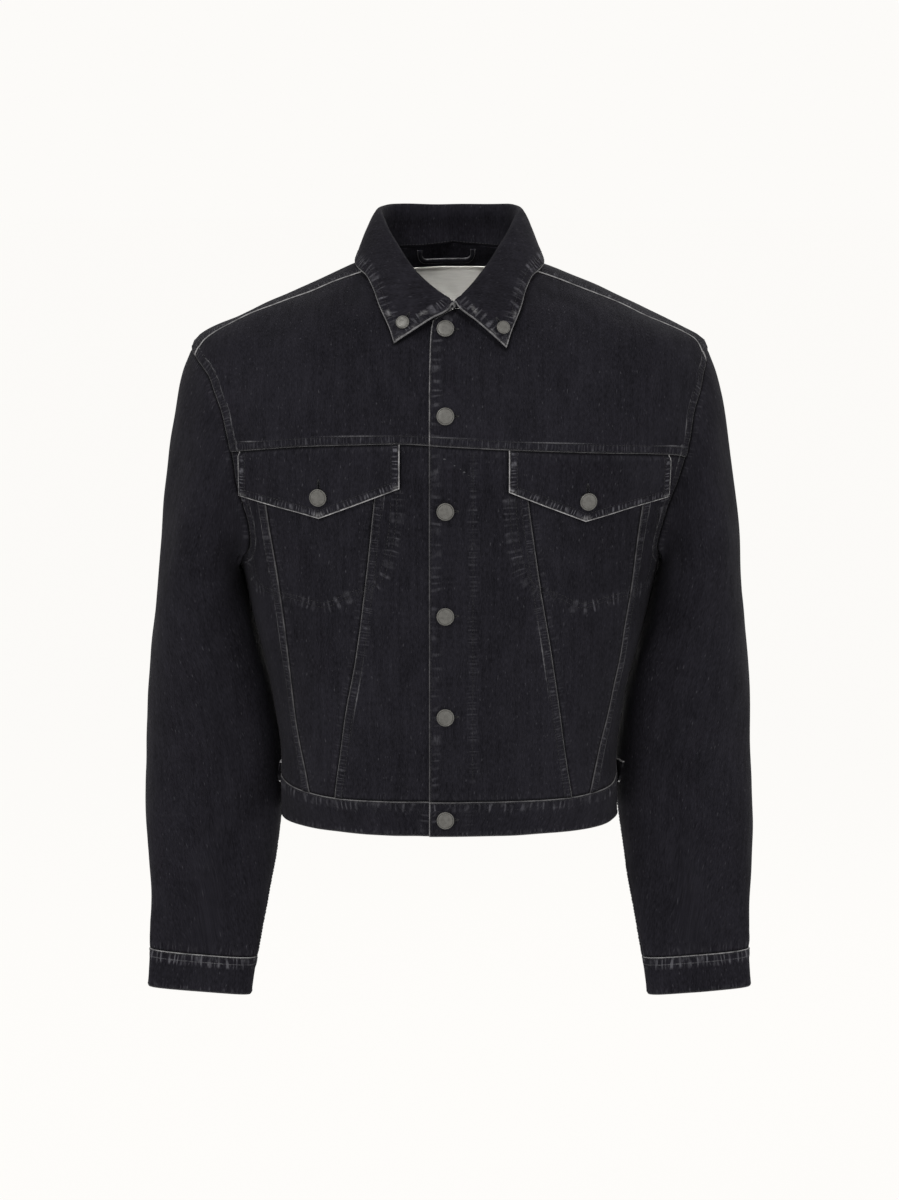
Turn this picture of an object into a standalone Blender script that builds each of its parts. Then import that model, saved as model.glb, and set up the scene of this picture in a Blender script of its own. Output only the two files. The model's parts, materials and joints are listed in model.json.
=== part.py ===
"""A cropped denim jacket, buttoned up and filled out, as the pieces that are cut and sewn.

Units are metres and +Z is up. The front faces -Y, and the wearer's left is +X.
The origin is the middle of the neck opening, level with the shoulders where the collar meets them.
The tables are in millimetres and degrees, and follow() reads them smoothly between their rows.
A place on the body is given as (angle, height): the angle is 0 at centre front, 90 at the wearer's left side.
"""

import math

import bmesh
import bpy
import numpy as np
from mathutils import Matrix, Vector
from mathutils.bvhtree import BVHTree

MM = 0.001
LEFT, RIGHT = 1, -1

# Cloth
WALL = 1.4 * MM  # one thickness of heavy denim
DOUBLE = 2.4 * MM  # two thicknesses turned and pressed
GAP = 0.3 * MM  # between pieces that meet
LAP = WALL + 3 * GAP  # how far the under front lies below the upper one
BAND_LAP = DOUBLE + 2 * GAP

# Seams and edges on the body
SHOULDER_SEAM_Y = -40 * MM  # the seam lies in front of the shoulder's ridge
ARMHOLE_TOP = -78.5 * MM
ARMHOLE_FOOT = -285 * MM
BACK_YOKE_SEAM = -165 * MM
HEM = -551 * MM
CUFF_SEAM = -697.7 * MM
CUFF_END = -737 * MM

# Buttons
BUTTON_RADIUS = 8.6 * MM
SMALL_BUTTON_RADIUS = 6.6 * MM
BUTTON_SIDES = 12
BUTTON_LINE_X = -4  # in millimetres, as are the places below
BUTTON_HEIGHTS = (-57, -139.4, -230.4, -332.6, -432.2, -534.3)
COLLAR_BUTTONS = {RIGHT: (-44.8, -50.5), LEFT: (51.5, -55.4)}  # x, height
FLAP_BUTTONS = {RIGHT: (-126.2, -217.5), LEFT: (133.4, -221.5)}
CUFF_BUTTON_X = 243 * MM
TAB_BUTTON_HEIGHT = -516 * MM

# The body's outline: height, half width, front depth, back depth, squareness of the ring
TORSO = (
    (24, 67, 35, 62, 2.1),
    (12, 78, 45, 72, 2.1),
    (0, 104, 57, 82, 2.15),
    (-20, 151.5, 75, 94, 2.2),
    (-39, 193.5, 92, 103, 2.3),
    (-62.5, 244, 104, 110, 2.4),
    (-69.5, 252, 107, 112, 2.45),
    (-78.5, 256, 110, 115, 2.5),
    (-100, 263, 116, 119, 2.5),
    (-120, 266, 120, 122, 2.5),
    (-160, 262, 126, 126, 2.5),
    (-200, 250, 128, 127, 2.45),
    (-236, 232, 128, 125, 2.4),
    (-250, 225, 127, 124, 2.4),
    (-284, 211, 126, 121, 2.4),
    (-353, 195, 124, 114, 2.4),
    (-435, 175.5, 121, 106, 2.4),
    (-496, 167.5, 120, 102, 2.45),
    (-512, 169.5, 120, 101, 2.5),
    (-553, 170.5, 120, 100, 2.2),
)

# The neck edge: angle from centre front, height. The first row is the corner of the lapping front.
NECKLINE = (
    (-9.4, -48),
    (0, -39.5),
    (15, -34),
    (30, -20),
    (45, -6),
    (60, 4),
    (75, 9),
    (90, 12),
    (130, 19),
    (180, 24),
)

# How far the armhole is cut in from the body's widest line: height, front right, front left, back
ARMHOLE = (
    (-78.5, 0, 0, 0),
    (-109, 32, 17, 20),
    (-145, 44, 26, 28),
    (-175.5, 45.5, 25.5, 29),
    (-213.5, 37, 22.5, 24),
    (-250, 28, 15, 19),
    (-274, 17, 9, 12),
    (-285, 0, 0, 0),
)

# The front edge: height, distance past the centre
FRONT_EDGE = ((-560, 20), (-123, 19.8), (-71, 18.8), (-56, 17.6), (-48, 15.9))

# The front yoke seam: x, height
FRONT_YOKE_SEAM = (
    (-225, -177.5),
    (-136, -169),
    (-80, -166.8),
    (-48, -166),
    (0, -168.7),
    (59, -171.8),
    (133, -175.2),
    (212, -178.8),
    (245, -186),
)

# The slanted front seams: height, then x of right outer, right inner, left inner, left outer
SLANTED_SEAMS = (
    (-160, -188, -65, 69, 194.5),
    (-227, -178.5, -73.5, 77, 189),
    (-300, -167.5, -81.5, 87.5, 180.5),
    (-373, -159.5, -91, 99.5, 170.5),
    (-439, -152, -103, 109.5, 158),
    (-520, -138.5, -114, 121, 136.5),
)
RIGHT_OUTER, RIGHT_INNER, LEFT_INNER, LEFT_OUTER = range(4)

# The slanted back seams: height, distance from the centre
BACK_SEAM = ((-160, 142), (-340, 116), (-520, 86))

# Where the waistband is sewn on: angle from centre front, height
WAIST_SEAM = ((0, -516.6), (45, -516.4), (60, -514.4), (72, -511.4), (90, -508), (180, -508))

# The collar: neck angle, fold (x, y, z), then the leaf's edge as an angle and a height
COLLAR = (
    (0, -0.5, -99, -33, 26.5, -71),
    (15, 20.5, -88.5, -15.5, 29.5, -59),
    (30, 37.5, -70.5, 2.5, 35.5, -42.5),
    (45, 51, -49.5, 23, 43.5, -26.5),
    (60, 62, -29, 41, 59, -7.5),
    (90, 70, 3, 57, 90, 6),
    (130, 57, 37, 62, 131, 2),
    (180, 0, 53, 62, 180, -4),
)
COLLAR_END = {RIGHT: 0.3, LEFT: 1.8}  # degrees from centre front, so that the ends meet on the wearer's left
FOLD_SHIFT = 3.2 * MM  # how far to that side the fold's ends meet
END_CLEAR = 0.7 * MM  # how far the stand's ends are raised over the fronts' top edge
COLLAR_LIFT = 3.6 * MM
FOLD_RADIUS = 2.8 * MM
TIP_FORWARD = {RIGHT: 0.0, LEFT: 5.5 * MM}  # the left point reaches this much further

# The sleeve below the arm: height, outer x, inner x, centre y, half depth, squareness, tilt in degrees
SLEEVE = (
    (-315, 295, 206.5, 18, 84, 2.3, 0),
    (-353, 299.3, 198.5, 25, 79, 2.4, 0),
    (-435, 307.6, 179, 40, 68, 2.4, 0.3),
    (-496, 311.5, 170, 48, 60, 2.4, 0.8),
    (-530, 313.2, 172, 49, 55, 2.4, 1.2),
    (-568, 313, 177, 44, 49, 2.5, 1.9),
    (-610, 311, 182, 35, 40, 2.6, 2.9),
    (-640, 309.5, 187, 26, 32, 2.8, 3.7),
    (-670, 308, 192.5, 17, 25, 3, 4.4),
    (-697.7, 307.3, 197.7, 11, 19, 3.2, 4.8),
    (-737, 309, 203.3, 8, 15, 3.6, 4.8),
)
# How the sleeve leaves the armhole, by angle round the arm from its top: steepness, reach as a share of the way
SLEEVE_HEAD = ((0, 66, 0.55), (90, 55, 0.7), (180, 42, 0.8), (270, 55, 0.7), (360, 66, 0.55))

# The cuffs, from where the upper end starts round the arm, with the under end sinking below it before the lap
CUFF_START, CUFF_LAP = math.radians(262), math.radians(34)
CUFF_SINKS = (math.radians(29), math.radians(5))
BAND_SINKS = (math.radians(26), math.radians(13))  # the waistband's under end, before centre front

# The pocket flaps: across the flap from 0 to 1, then x and height of the lower edge, right and left flap
FLAP_EDGE = (
    (0, -204, -218.4, 57, -212),
    (0.5, -125.5, -238.2, 131.4, -241.6),
    (1, -48, -208.4, 213, -219.7),
)
# The waist tabs: facets of the back side panel from the side seam, height of the middle, half width, stand-off below
# and above
WAIST_TAB = (
    (-0.12, -508, 10, 1.2, 8),
    (0, -508.8, 11, 1, 5.6),
    (1, -512.5, 12, 0.7, 1.9),
    (2, -515, 12, 0.7, 1.7),
    (3, -517, 12, 0.7, 1.4),
    (3.4, -517.8, 2, 0.7, 1),
)
MOST_STAND_OFF = {RIGHT: 2.2 * MM, LEFT: 10 * MM}
TAB_BUTTON_FACET = 3.02
FLAP_LIFT = 1.2 * MM
FLAP_WALL = 2.0 * MM

# Inside the back neck: the label, and the strip of the hanger loop along its middle line
LABEL_X, LABEL_HEIGHT = (-44 * MM, 49 * MM), (-46 * MM, 1.6 * MM)
LABEL_WALL = 1.0 * MM
LOOP_X, LOOP_HEIGHT = (-31 * MM, 24 * MM), (7.2 * MM, 18.5 * MM)
LOOP_WIDTH, LOOP_BEND, LOOP_WALL = 4.6 * MM, 7.5 * MM, 1.6 * MM

# How many facets each piece has. Pieces that meet share the same points along their seam.
CENTRE_COLUMNS, PANEL_COLUMNS, SIDE_COLUMNS = 3, 4, 3
BACK_SIDE_COLUMNS, BACK_CENTRE_COLUMNS = 4, 8
NECK_FRONT_COLUMNS = CENTRE_COLUMNS + PANEL_COLUMNS + SIDE_COLUMNS - 1
ARMHOLE_FRONT_UPPER, ARMHOLE_FRONT_LOWER = 5, 4
ARMHOLE_BACK_LOWER, ARMHOLE_BACK_UPPER = 5, 6
SHOULDER_ROWS, SIDE_ROWS = 5, 7
SLEEVE_HEAD_ROWS, SLEEVE_ROWS = 5, 8
CUFF_COLUMNS = 24
FLAP_COLUMNS, FLAP_ROWS = 8, 3
LABEL_COLUMNS, LABEL_ROWS = 9, 5

FINISHES = {  # base colour, roughness, metallic
    "denim": ((0.016, 0.015, 0.018), 0.9, 0.0),
    "metal": ((0.21, 0.2, 0.19), 0.38, 1.0),
    "label": ((0.5, 0.5, 0.46), 0.8, 0.0),
}


# ---------------------------------------------------------------- reading tables


def follow(table, at):
    """A table's columns read smoothly at values of its first column, with no overshoot between its rows."""
    rows = np.array(sorted(table), float)
    keys, values = rows[:, 0], rows[:, 1:]
    steps = np.diff(keys)[:, None]
    slopes = np.diff(values, axis=0) / steps
    same_way = slopes[:-1] * slopes[1:] > 0
    total = np.where(same_way, slopes[:-1] + slopes[1:], 1)
    middle = np.where(same_way, 2 * slopes[:-1] * slopes[1:] / total, 0)
    tangents = np.vstack([slopes[:1], middle, slopes[-1:]])
    at = np.asarray(at, float)
    row = np.clip(np.searchsorted(keys, at) - 1, 0, len(keys) - 2)
    step = steps[row]
    t = np.clip((at - keys[row]) / step[..., 0], 0, 1)[..., None]
    start = (1 + 2 * t) * (1 - t) ** 2 * values[row] + t * (1 - t) ** 2 * step * tangents[row]
    end = t * t * (3 - 2 * t) * values[row + 1] - t * t * (1 - t) * step * tangents[row + 1]
    return start + end


def smoothstep(low, high, value):
    t = np.clip((value - low) / (high - low), 0, 1)
    return t * t * (3 - 2 * t)


# ---------------------------------------------------------------- the body's form


def ring_sizes(height):
    """Half width, front depth, back depth and squareness of the body's ring at a height."""
    half_width, front, back, squareness = np.moveaxis(follow(TORSO, np.asarray(height) / MM), -1, 0)
    return half_width * MM, front * MM, back * MM, squareness


def torso(angle, height):
    """The body's outer surface: rings that are rounder or squarer ellipses, deeper in front than behind."""
    angle, height = np.broadcast_arrays(np.asarray(angle, float), np.asarray(height, float))
    half_width, front, back, power = ring_sizes(height)
    depth = np.where(np.cos(angle) > 0, front, back)
    across, along = np.abs(np.sin(angle)) / half_width, np.abs(np.cos(angle)) / depth
    radius = (across**power + along**power) ** (-1 / power)
    return np.stack([radius * np.sin(angle), -radius * np.cos(angle), height], -1)


def unit(vectors):
    return vectors / np.linalg.norm(vectors, axis=-1, keepdims=True)


def facing(surface, first, second, step=1e-3):
    """Unit normals of surface(first, second), along d(first) x d(second)."""
    along_first = surface(first + step, second) - surface(first - step, second)
    along_second = surface(first, second + step) - surface(first, second - step)
    return unit(np.cross(along_first, along_second))


def angle_at_x(x, height, back=False):
    """The angle at which the body's ring has a given x, on its front or its back half."""
    half_width, front, rear, power = ring_sizes(height)
    depth = rear if back else front
    share = np.clip(np.abs(x) / half_width, 0, 1)
    y = depth * (1 - share**power) ** (1 / power)
    return np.arctan2(x, -y if back else y)


def angle_at_front_y(y, height, side):
    half_width, front, _, power = ring_sizes(height)
    x = half_width * (1 - np.abs(y / front) ** power) ** (1 / power)
    return side * np.arctan2(x, -y)


# ---------------------------------------------------------------- seam lines, as (angle, height)


def neck_line(side):
    def at(angle):
        return np.stack([side * angle, follow(NECKLINE, np.degrees(angle))[..., 0] * MM], -1)

    return at


def shoulder_line(side):
    def at(height):
        return np.stack([angle_at_front_y(SHOULDER_SEAM_Y, height, side), height], -1)

    return at


def armhole_height(turn):
    return ARMHOLE_TOP + (ARMHOLE_FOOT - ARMHOLE_TOP) * (1 - np.cos(turn)) / 2


def armhole_line(side):
    """The armhole, by the turn round the arm: 0 at the top, 90 degrees in front, 180 under the arm."""

    def at(turn):
        height = armhole_height(turn)
        front_right, front_left, behind = np.moveaxis(follow(ARMHOLE, height / MM), -1, 0)
        front = front_left if side == LEFT else front_right
        in_front = np.sin(turn) >= 0
        half_width = ring_sizes(height)[0]
        x = half_width - MM * np.where(in_front, front, behind)
        angle = np.where(in_front, angle_at_x(x, height), angle_at_x(x, height, back=True))
        return np.stack([side * angle, height], -1)

    return at


def front_edge_line(side):
    def at(height):
        x = -side * MM * follow(FRONT_EDGE, height / MM)[..., 0]
        return np.stack([angle_at_x(x, height), height], -1)

    return at


def front_yoke_line(x):
    height = MM * follow(FRONT_YOKE_SEAM, x / MM)[..., 0]
    return np.stack([angle_at_x(x, height), height], -1)


def slanted_line(column):
    def at(height):
        x = MM * follow(SLANTED_SEAMS, height / MM)[..., column]
        return np.stack([angle_at_x(x, height), height], -1)

    return at


def back_slanted_line(side):
    def at(height):
        x = MM * follow(BACK_SEAM, height / MM)[..., 0]
        return np.stack([side * angle_at_x(x, height, back=True), height], -1)

    return at


def back_yoke_line(angle):
    return np.stack([angle, np.full_like(angle, BACK_YOKE_SEAM)], -1)


def waist_line(angle):
    from_front = np.degrees(np.abs((angle + np.pi) % (2 * np.pi) - np.pi))
    return np.stack([angle, MM * follow(WAIST_SEAM, from_front)[..., 0]], -1)


def side_line(side):
    def at(height):
        return np.stack([np.full_like(height, side * np.pi / 2), height], -1)

    return at


def cross(first, at_first, second, at_second):
    """The two lines' own values where they cross, from a first guess, by Newton's method."""
    values, step = np.array([at_first, at_second], float), 1e-5
    for _ in range(12):
        miss = first(values[0]) - second(values[1])
        slope_first = (first(values[0] + step) - first(values[0] - step)) / (2 * step)
        slope_second = (second(values[1] + step) - second(values[1] - step)) / (2 * step)
        values -= np.linalg.solve(np.stack([slope_first, -slope_second], -1), miss)
    return values


def along(line, start, end, count):
    return line(np.linspace(start, end, count + 1))


def chain(*lines):
    """Lines end to end as one, without the points that they share."""
    return np.concatenate([lines[0]] + [line[1:] for line in lines[1:]])


def fill(bottom, top, left, right, fade=1):
    """A patch of (angle, height) between four edges. Higher fades keep the side edges' bends near those edges."""
    u = np.linspace(0, 1, len(bottom))[:, None, None]
    v = np.linspace(0, 1, len(left))[None, :, None]
    straight_up = (1 - v) * bottom[:, None] + v * top[:, None]
    left_bend = left[None] - (1 - v) * left[0] - v * left[-1]
    right_bend = right[None] - (1 - v) * right[0] - v * right[-1]
    return straight_up + (1 - u) ** fade * left_bend + u**fade * right_bend


def settle(points):
    """The places on the body, as (angle, height), that are nearest to points (by Gauss and Newton's method)."""
    angle = np.arctan2(points[..., 0], -points[..., 1]) % (2 * np.pi)
    height, step = points[..., 2].copy(), 1e-4
    for _ in range(40):
        miss = points - torso(angle, height)
        across = (torso(angle + step, height) - torso(angle - step, height)) / (2 * step)
        up = (torso(angle, height + step) - torso(angle, height - step)) / (2 * step)
        aa, ab, bb = (np.sum(a * b, axis=-1) for a, b in ((across, across), (across, up), (up, up)))
        miss_across, miss_up = np.sum(miss * across, axis=-1), np.sum(miss * up, axis=-1)
        whole = aa * bb - ab * ab
        angle = angle + np.clip((miss_across * bb - miss_up * ab) / whole, -0.1, 0.1)
        height = height + np.clip((miss_up * aa - miss_across * ab) / whole, -8 * MM, 8 * MM)
    return np.stack([angle, height], -1)


# ---------------------------------------------------------------- sleeves


def sleeve_ring(side, turn, height):
    """A level round of the sleeve, or one that tilts with the cuff."""
    outer, inner, middle_y, depth, power, tilt = np.moveaxis(follow(SLEEVE, height / MM), -1, 0)
    half = (outer - inner) / 2
    radius = (np.abs(np.cos(turn) / half) ** power + np.abs(np.sin(turn) / depth) ** power) ** (-1 / power)
    x = radius * np.cos(turn)
    z = height + MM * x * np.tan(np.radians(tilt))
    return np.stack([side * MM * (x + (outer + inner) / 2), MM * (middle_y - radius * np.sin(turn)), z], -1)


def sleeve(side):
    """The sleeve's surface by the turn round the arm and the way down it: 0 armhole, 1 below the arm, 2 cuff seam."""
    head_end = SLEEVE[0][0] * MM

    def at(turn, way):
        turn, way = np.broadcast_arrays(np.asarray(turn, float), np.asarray(way, float))
        start = torso(*np.moveaxis(armhole_line(side)(turn), -1, 0))
        end = sleeve_ring(side, turn, np.full_like(turn, head_end))
        chord = np.linalg.norm(end - start, axis=-1, keepdims=True)
        steepness, reach = np.moveaxis(follow(SLEEVE_HEAD, np.degrees(turn) % 360), -1, 0)
        steepness = np.radians(steepness)
        leave = np.stack([side * np.cos(steepness), np.zeros_like(steepness), -np.sin(steepness)], -1)
        below = sleeve_ring(side, turn, np.full_like(turn, head_end - 2 * MM))
        t = np.clip(way, 0, 1)[..., None]
        head = (
            (1 + 2 * t) * (1 - t) ** 2 * start
            + t * (1 - t) ** 2 * chord * reach[..., None] * leave
            + t * t * (3 - 2 * t) * end
            - t * t * (1 - t) * chord * unit(below - end)
        )
        height = head_end + (CUFF_SEAM - head_end) * np.maximum(way - 1, 0)
        return np.where(way[..., None] < 1, head, sleeve_ring(side, turn, height))

    return at


def armhole_turns(side):
    """The turns at which other seams meet the armhole: shoulder, front yoke, under the arm, back yoke, shoulder."""
    hole = armhole_line(side)
    shoulder = cross(hole, 0.5, shoulder_line(side), ARMHOLE_TOP - 8 * MM)[0]
    front = cross(hole, 1.7, front_yoke_line, side * 215 * MM)[0]
    behind = 2 * np.pi - np.arccos(1 - 2 * (BACK_YOKE_SEAM - ARMHOLE_TOP) / (ARMHOLE_FOOT - ARMHOLE_TOP))
    return shoulder, front, np.pi, behind, shoulder + 2 * np.pi


def armhole_stretches(side):
    """The armhole's points, one run for each piece that is sewn to it."""
    turns = armhole_turns(side)
    counts = (ARMHOLE_FRONT_UPPER, ARMHOLE_FRONT_LOWER, ARMHOLE_BACK_LOWER, ARMHOLE_BACK_UPPER)
    return [np.linspace(a, b, count + 1) for a, b, count in zip(turns, turns[1:], counts)]


def armhole_mitre(side, turn):
    """The way into the cloth at the armhole, halfway between body and sleeve, long enough to keep the wall."""
    body = facing(torso, *np.moveaxis(armhole_line(side)(turn), -1, 0))
    arm = side * facing(sleeve(side), turn, np.full_like(turn, 2e-3))
    halfway = unit(body + arm)
    return halfway / np.maximum(np.sum(halfway * body, axis=-1, keepdims=True), 0.45)


# ---------------------------------------------------------------- making solids


def add_object(name, mesh, finish):
    """An object from a bmesh, with its own material."""
    bmesh.ops.recalc_face_normals(mesh, faces=mesh.faces)
    data = bpy.data.meshes.new(name)
    mesh.to_mesh(data)
    mesh.free()
    made = bpy.data.objects.new(name, data)
    bpy.context.scene.collection.objects.link(made)
    colour, roughness, metallic = FINISHES[finish]
    material = bpy.data.materials.new(name)
    material.use_nodes = True
    shader = material.node_tree.nodes["Principled BSDF"]
    shader.inputs["Base Color"].default_value = (*colour, 1)
    shader.inputs["Roughness"].default_value = roughness
    shader.inputs["Metallic"].default_value = metallic
    data.materials.append(material)
    data.shade_smooth()
    data.set_sharp_from_angle(angle=math.radians(40))
    return made


def tree_of(pieces):
    """The faces of some pieces, ready to be met by rays."""
    verts, faces = [], []
    for piece in pieces:
        first = len(verts)
        verts += [v.co.copy() for v in piece.data.vertices]
        faces += [[first + i for i in polygon.vertices] for polygon in piece.data.polygons]
    return BVHTree.FromPolygons(verts, faces)


def trim(points, normals):
    """Draws a piece's edges back in its own surface by half a gap, so that it stays clear of its neighbours."""
    trimmed = points.copy()
    edges = [
        (trimmed[:, 0], points[:, 0], points[:, 1], normals[:, 0]),
        (trimmed[:, -1], points[:, -1], points[:, -2], normals[:, -1]),
        (trimmed[0], points[0], points[1], normals[0]),
        (trimmed[-1], points[-1], points[-2], normals[-1]),
    ]
    for moved, edge, inside, normal in edges:
        way = unit(np.cross(normal, np.gradient(edge, axis=0)))
        moved += way * np.sign(np.sum(way * (inside - edge), axis=-1, keepdims=True)) * GAP / 2
    return trimmed


def add_cloth(name, outer, inwards, finish="denim"):
    """A piece of cloth: its outer face, the same face moved inwards by its thickness, and the cut edge between."""
    mesh = bmesh.new()
    columns, rows = outer.shape[:2]
    faces = [[[mesh.verts.new(p) for p in column] for column in side] for side in (outer, outer - inwards)]
    for skin in faces:
        for near, far in zip(skin, skin[1:]):
            for j in range(rows - 1):
                mesh.faces.new((near[j], far[j], far[j + 1], near[j + 1]))
    front, back = faces
    for j in (0, rows - 1):
        for i in range(columns - 1):
            mesh.faces.new((front[i][j], front[i + 1][j], back[i + 1][j], back[i][j]))
    for i in (0, columns - 1):
        for j in range(rows - 1):
            mesh.faces.new((front[i][j], front[i][j + 1], back[i][j + 1], back[i][j]))
    return add_object(name, mesh, finish)


def under_lap(points):
    """How far the button side of the front is let in, so that the other front can lie over it."""
    return LAP * smoothstep(-58 * MM, -26 * MM, points[..., 0:1])


def body_points(patch, side=LEFT, lift=0.0):
    """Points and unit normals for a patch of (angle, height), lifted off the body's surface."""
    angle, height = patch[..., 0], patch[..., 1]
    normals = facing(torso, angle, height)
    points = torso(angle, height)
    if side == RIGHT:
        lift = lift - under_lap(points)
    return points + normals * lift, normals


def add_panel(name, patch, side=LEFT, armholes=()):
    """A body panel. armholes says where it is sewn to a sleeve: (wearer's side, column, first row, turns)."""
    points, normals = body_points(patch, side)
    inwards = normals.copy()
    for arm, column, row, turns in armholes:
        inwards[column, row : row + len(turns)] = armhole_mitre(arm, turns)
    return add_cloth(name, trim(points, normals), inwards * WALL)


# ---------------------------------------------------------------- the fronts


def front_seams(side):
    """The lines that run down one front, from its edge to the side panel."""
    slanted = (LEFT_INNER, LEFT_OUTER) if side == LEFT else (RIGHT_INNER, RIGHT_OUTER)
    return [front_edge_line(side)] + [slanted_line(column) for column in slanted]


def seam_ends(line):
    """Where a line down the front meets the yoke and the waistband: its height and the yoke's x, then height and angle."""
    top, low = -172 * MM, -514 * MM
    x = torso(*line(np.float64(top)))[0]
    top, yoke_x = cross(line, top, front_yoke_line, x)
    low, waist_angle = cross(line, low, waist_line, line(np.float64(low))[0])
    return top, yoke_x, low, waist_angle


def armhole_yoke_x(side):
    return cross(armhole_line(side), 1.7, front_yoke_line, side * 215 * MM)[1]


def add_front_yoke(side, name):
    """From the yoke seam to the neck, and out to the armhole and the shoulder seam."""
    upper = armhole_stretches(side)[0]
    neck, shoulder, edge = neck_line(side), shoulder_line(side), front_edge_line(side)
    neck_end, shoulder_top = cross(neck, 1.1, shoulder, 2 * MM)
    corner, edge_top = cross(neck, math.radians(-9), edge, -47 * MM)
    ends = [seam_ends(line) for line in front_seams(side)]
    marks = [yoke_x for _, yoke_x, _, _ in ends] + [armhole_yoke_x(side)]
    counts = (CENTRE_COLUMNS, PANEL_COLUMNS, SIDE_COLUMNS)
    stretches = zip(marks, marks[1:], counts)
    bottom = chain(*[along(front_yoke_line, start, end, count) for start, end, count in stretches])
    top = chain(along(neck, corner, 0, 1), along(neck, 0, neck_end, NECK_FRONT_COLUMNS))
    hole = armhole_line(side)(upper[::-1])
    rows = len(upper) - 1 + SHOULDER_ROWS
    left = along(edge, ends[0][0], edge_top, rows)
    right = chain(hole, along(shoulder, hole[-1, 1], shoulder_top, SHOULDER_ROWS))
    patch = fill(bottom, top, left, right)
    return add_panel(name, patch, side, [(side, -1, 0, upper[::-1])])


def add_lower_front(name, inner, outer, side, columns):
    """A panel of the lower front between two lines that run down it."""
    top_in, yoke_in, low_in, waist_in = seam_ends(inner)
    top_out, yoke_out, low_out, waist_out = seam_ends(outer)
    rows = SIDE_ROWS + ARMHOLE_FRONT_LOWER
    patch = fill(
        along(waist_line, waist_in, waist_out, columns),
        along(front_yoke_line, yoke_in, yoke_out, columns),
        along(inner, low_in, top_in, rows),
        along(outer, low_out, top_out, rows),
    )
    return add_panel(name, patch, side)


def side_seam_line(side):
    """The side seam from the waistband up to the armhole."""
    waist = waist_line(np.float64(side * np.pi / 2))[1]
    return along(side_line(side), waist, ARMHOLE_FOOT, SIDE_ROWS)


def add_front_side(side, name):
    """Between the outer slanted seam and the side seam, with the lower front of the armhole."""
    seam = front_seams(side)[2]
    top, yoke_in, low, waist_in = seam_ends(seam)
    lower = armhole_stretches(side)[1][::-1]
    patch = fill(
        along(waist_line, waist_in, side * np.pi / 2, SIDE_COLUMNS),
        along(front_yoke_line, yoke_in, armhole_yoke_x(side), SIDE_COLUMNS),
        along(seam, low, top, SIDE_ROWS + ARMHOLE_FRONT_LOWER),
        chain(side_seam_line(side), armhole_line(side)(lower)),
    )
    return add_panel(name, patch, armholes=[(side, -1, SIDE_ROWS, lower)])


# ---------------------------------------------------------------- the back


def back_corners():
    """Where the left slanted back seam meets the yoke and the waistband: its heights, and the angles there."""
    seam = back_slanted_line(LEFT)
    top, yoke_angle = cross(seam, BACK_YOKE_SEAM, back_yoke_line, 2.2)
    low, waist_angle = cross(seam, -508 * MM, waist_line, 2.4)
    return top, yoke_angle, low, waist_angle


def across_back(line, start, seam, end):
    """A line across the back from a place on the left to one on the right, through both slanted seams."""
    return chain(
        along(line, start, seam, BACK_SIDE_COLUMNS),
        along(line, seam, 2 * np.pi - seam, BACK_CENTRE_COLUMNS),
        along(line, 2 * np.pi - seam, end, BACK_SIDE_COLUMNS),
    )


def add_back_yoke():
    """One piece across the back and over both shoulders."""
    whole_turn = np.array([2 * np.pi, 0])
    edges, necks, armholes = [], [], []
    for side, column in ((LEFT, 0), (RIGHT, -1)):
        upper = armhole_stretches(side)[3]
        neck_end, shoulder_top = cross(neck_line(side), 1.1, shoulder_line(side), 2 * MM)
        hole = armhole_line(side)(upper)
        edges.append(chain(hole, along(shoulder_line(side), hole[-1, 1], shoulder_top, SHOULDER_ROWS)))
        necks.append(neck_end)
        armholes.append((side, column, 0, upper))
    left, right = edges[0], edges[1] + whole_turn
    half = BACK_SIDE_COLUMNS + BACK_CENTRE_COLUMNS // 2
    top = chain(
        along(neck_line(LEFT), necks[0], np.pi, half),
        along(neck_line(RIGHT), np.pi, necks[1], half) + whole_turn,
    )
    bottom = across_back(back_yoke_line, left[0, 0], back_corners()[1], right[0, 0])
    # filled in space, because the way over the shoulders is short there but long round the body's rings
    patch = fill(bottom, top, left, right)
    in_space = [torso(*np.moveaxis(edge, -1, 0)) for edge in (bottom, top, left, right)]
    patch[1:-1, 1:-1] = settle(fill(*in_space, fade=3)[1:-1, 1:-1])
    return add_panel("back_yoke", patch, armholes=armholes)


def add_back_centre():
    top, yoke_angle, low, waist_angle = back_corners()
    rows = SIDE_ROWS + ARMHOLE_BACK_LOWER
    patch = fill(
        along(waist_line, waist_angle, 2 * np.pi - waist_angle, BACK_CENTRE_COLUMNS),
        along(back_yoke_line, yoke_angle, 2 * np.pi - yoke_angle, BACK_CENTRE_COLUMNS),
        along(back_slanted_line(LEFT), low, top, rows),
        along(back_slanted_line(RIGHT), low, top, rows) + np.array([2 * np.pi, 0]),
    )
    return add_panel("back_centre", patch)


def add_back_side(side, name):
    top, yoke_angle, low, waist_angle = back_corners()
    lower = armhole_stretches(side)[2]
    hole = armhole_line(side)(lower)
    patch = fill(
        along(waist_line, side * np.pi / 2, side * waist_angle, BACK_SIDE_COLUMNS),
        along(back_yoke_line, hole[-1, 0], side * yoke_angle, BACK_SIDE_COLUMNS),
        chain(side_seam_line(side), hole),
        along(back_slanted_line(side), low, top, SIDE_ROWS + ARMHOLE_BACK_LOWER),
    )
    return add_panel(name, patch, armholes=[(side, 0, SIDE_ROWS, lower)])


# ---------------------------------------------------------------- collar and waistband


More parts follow.
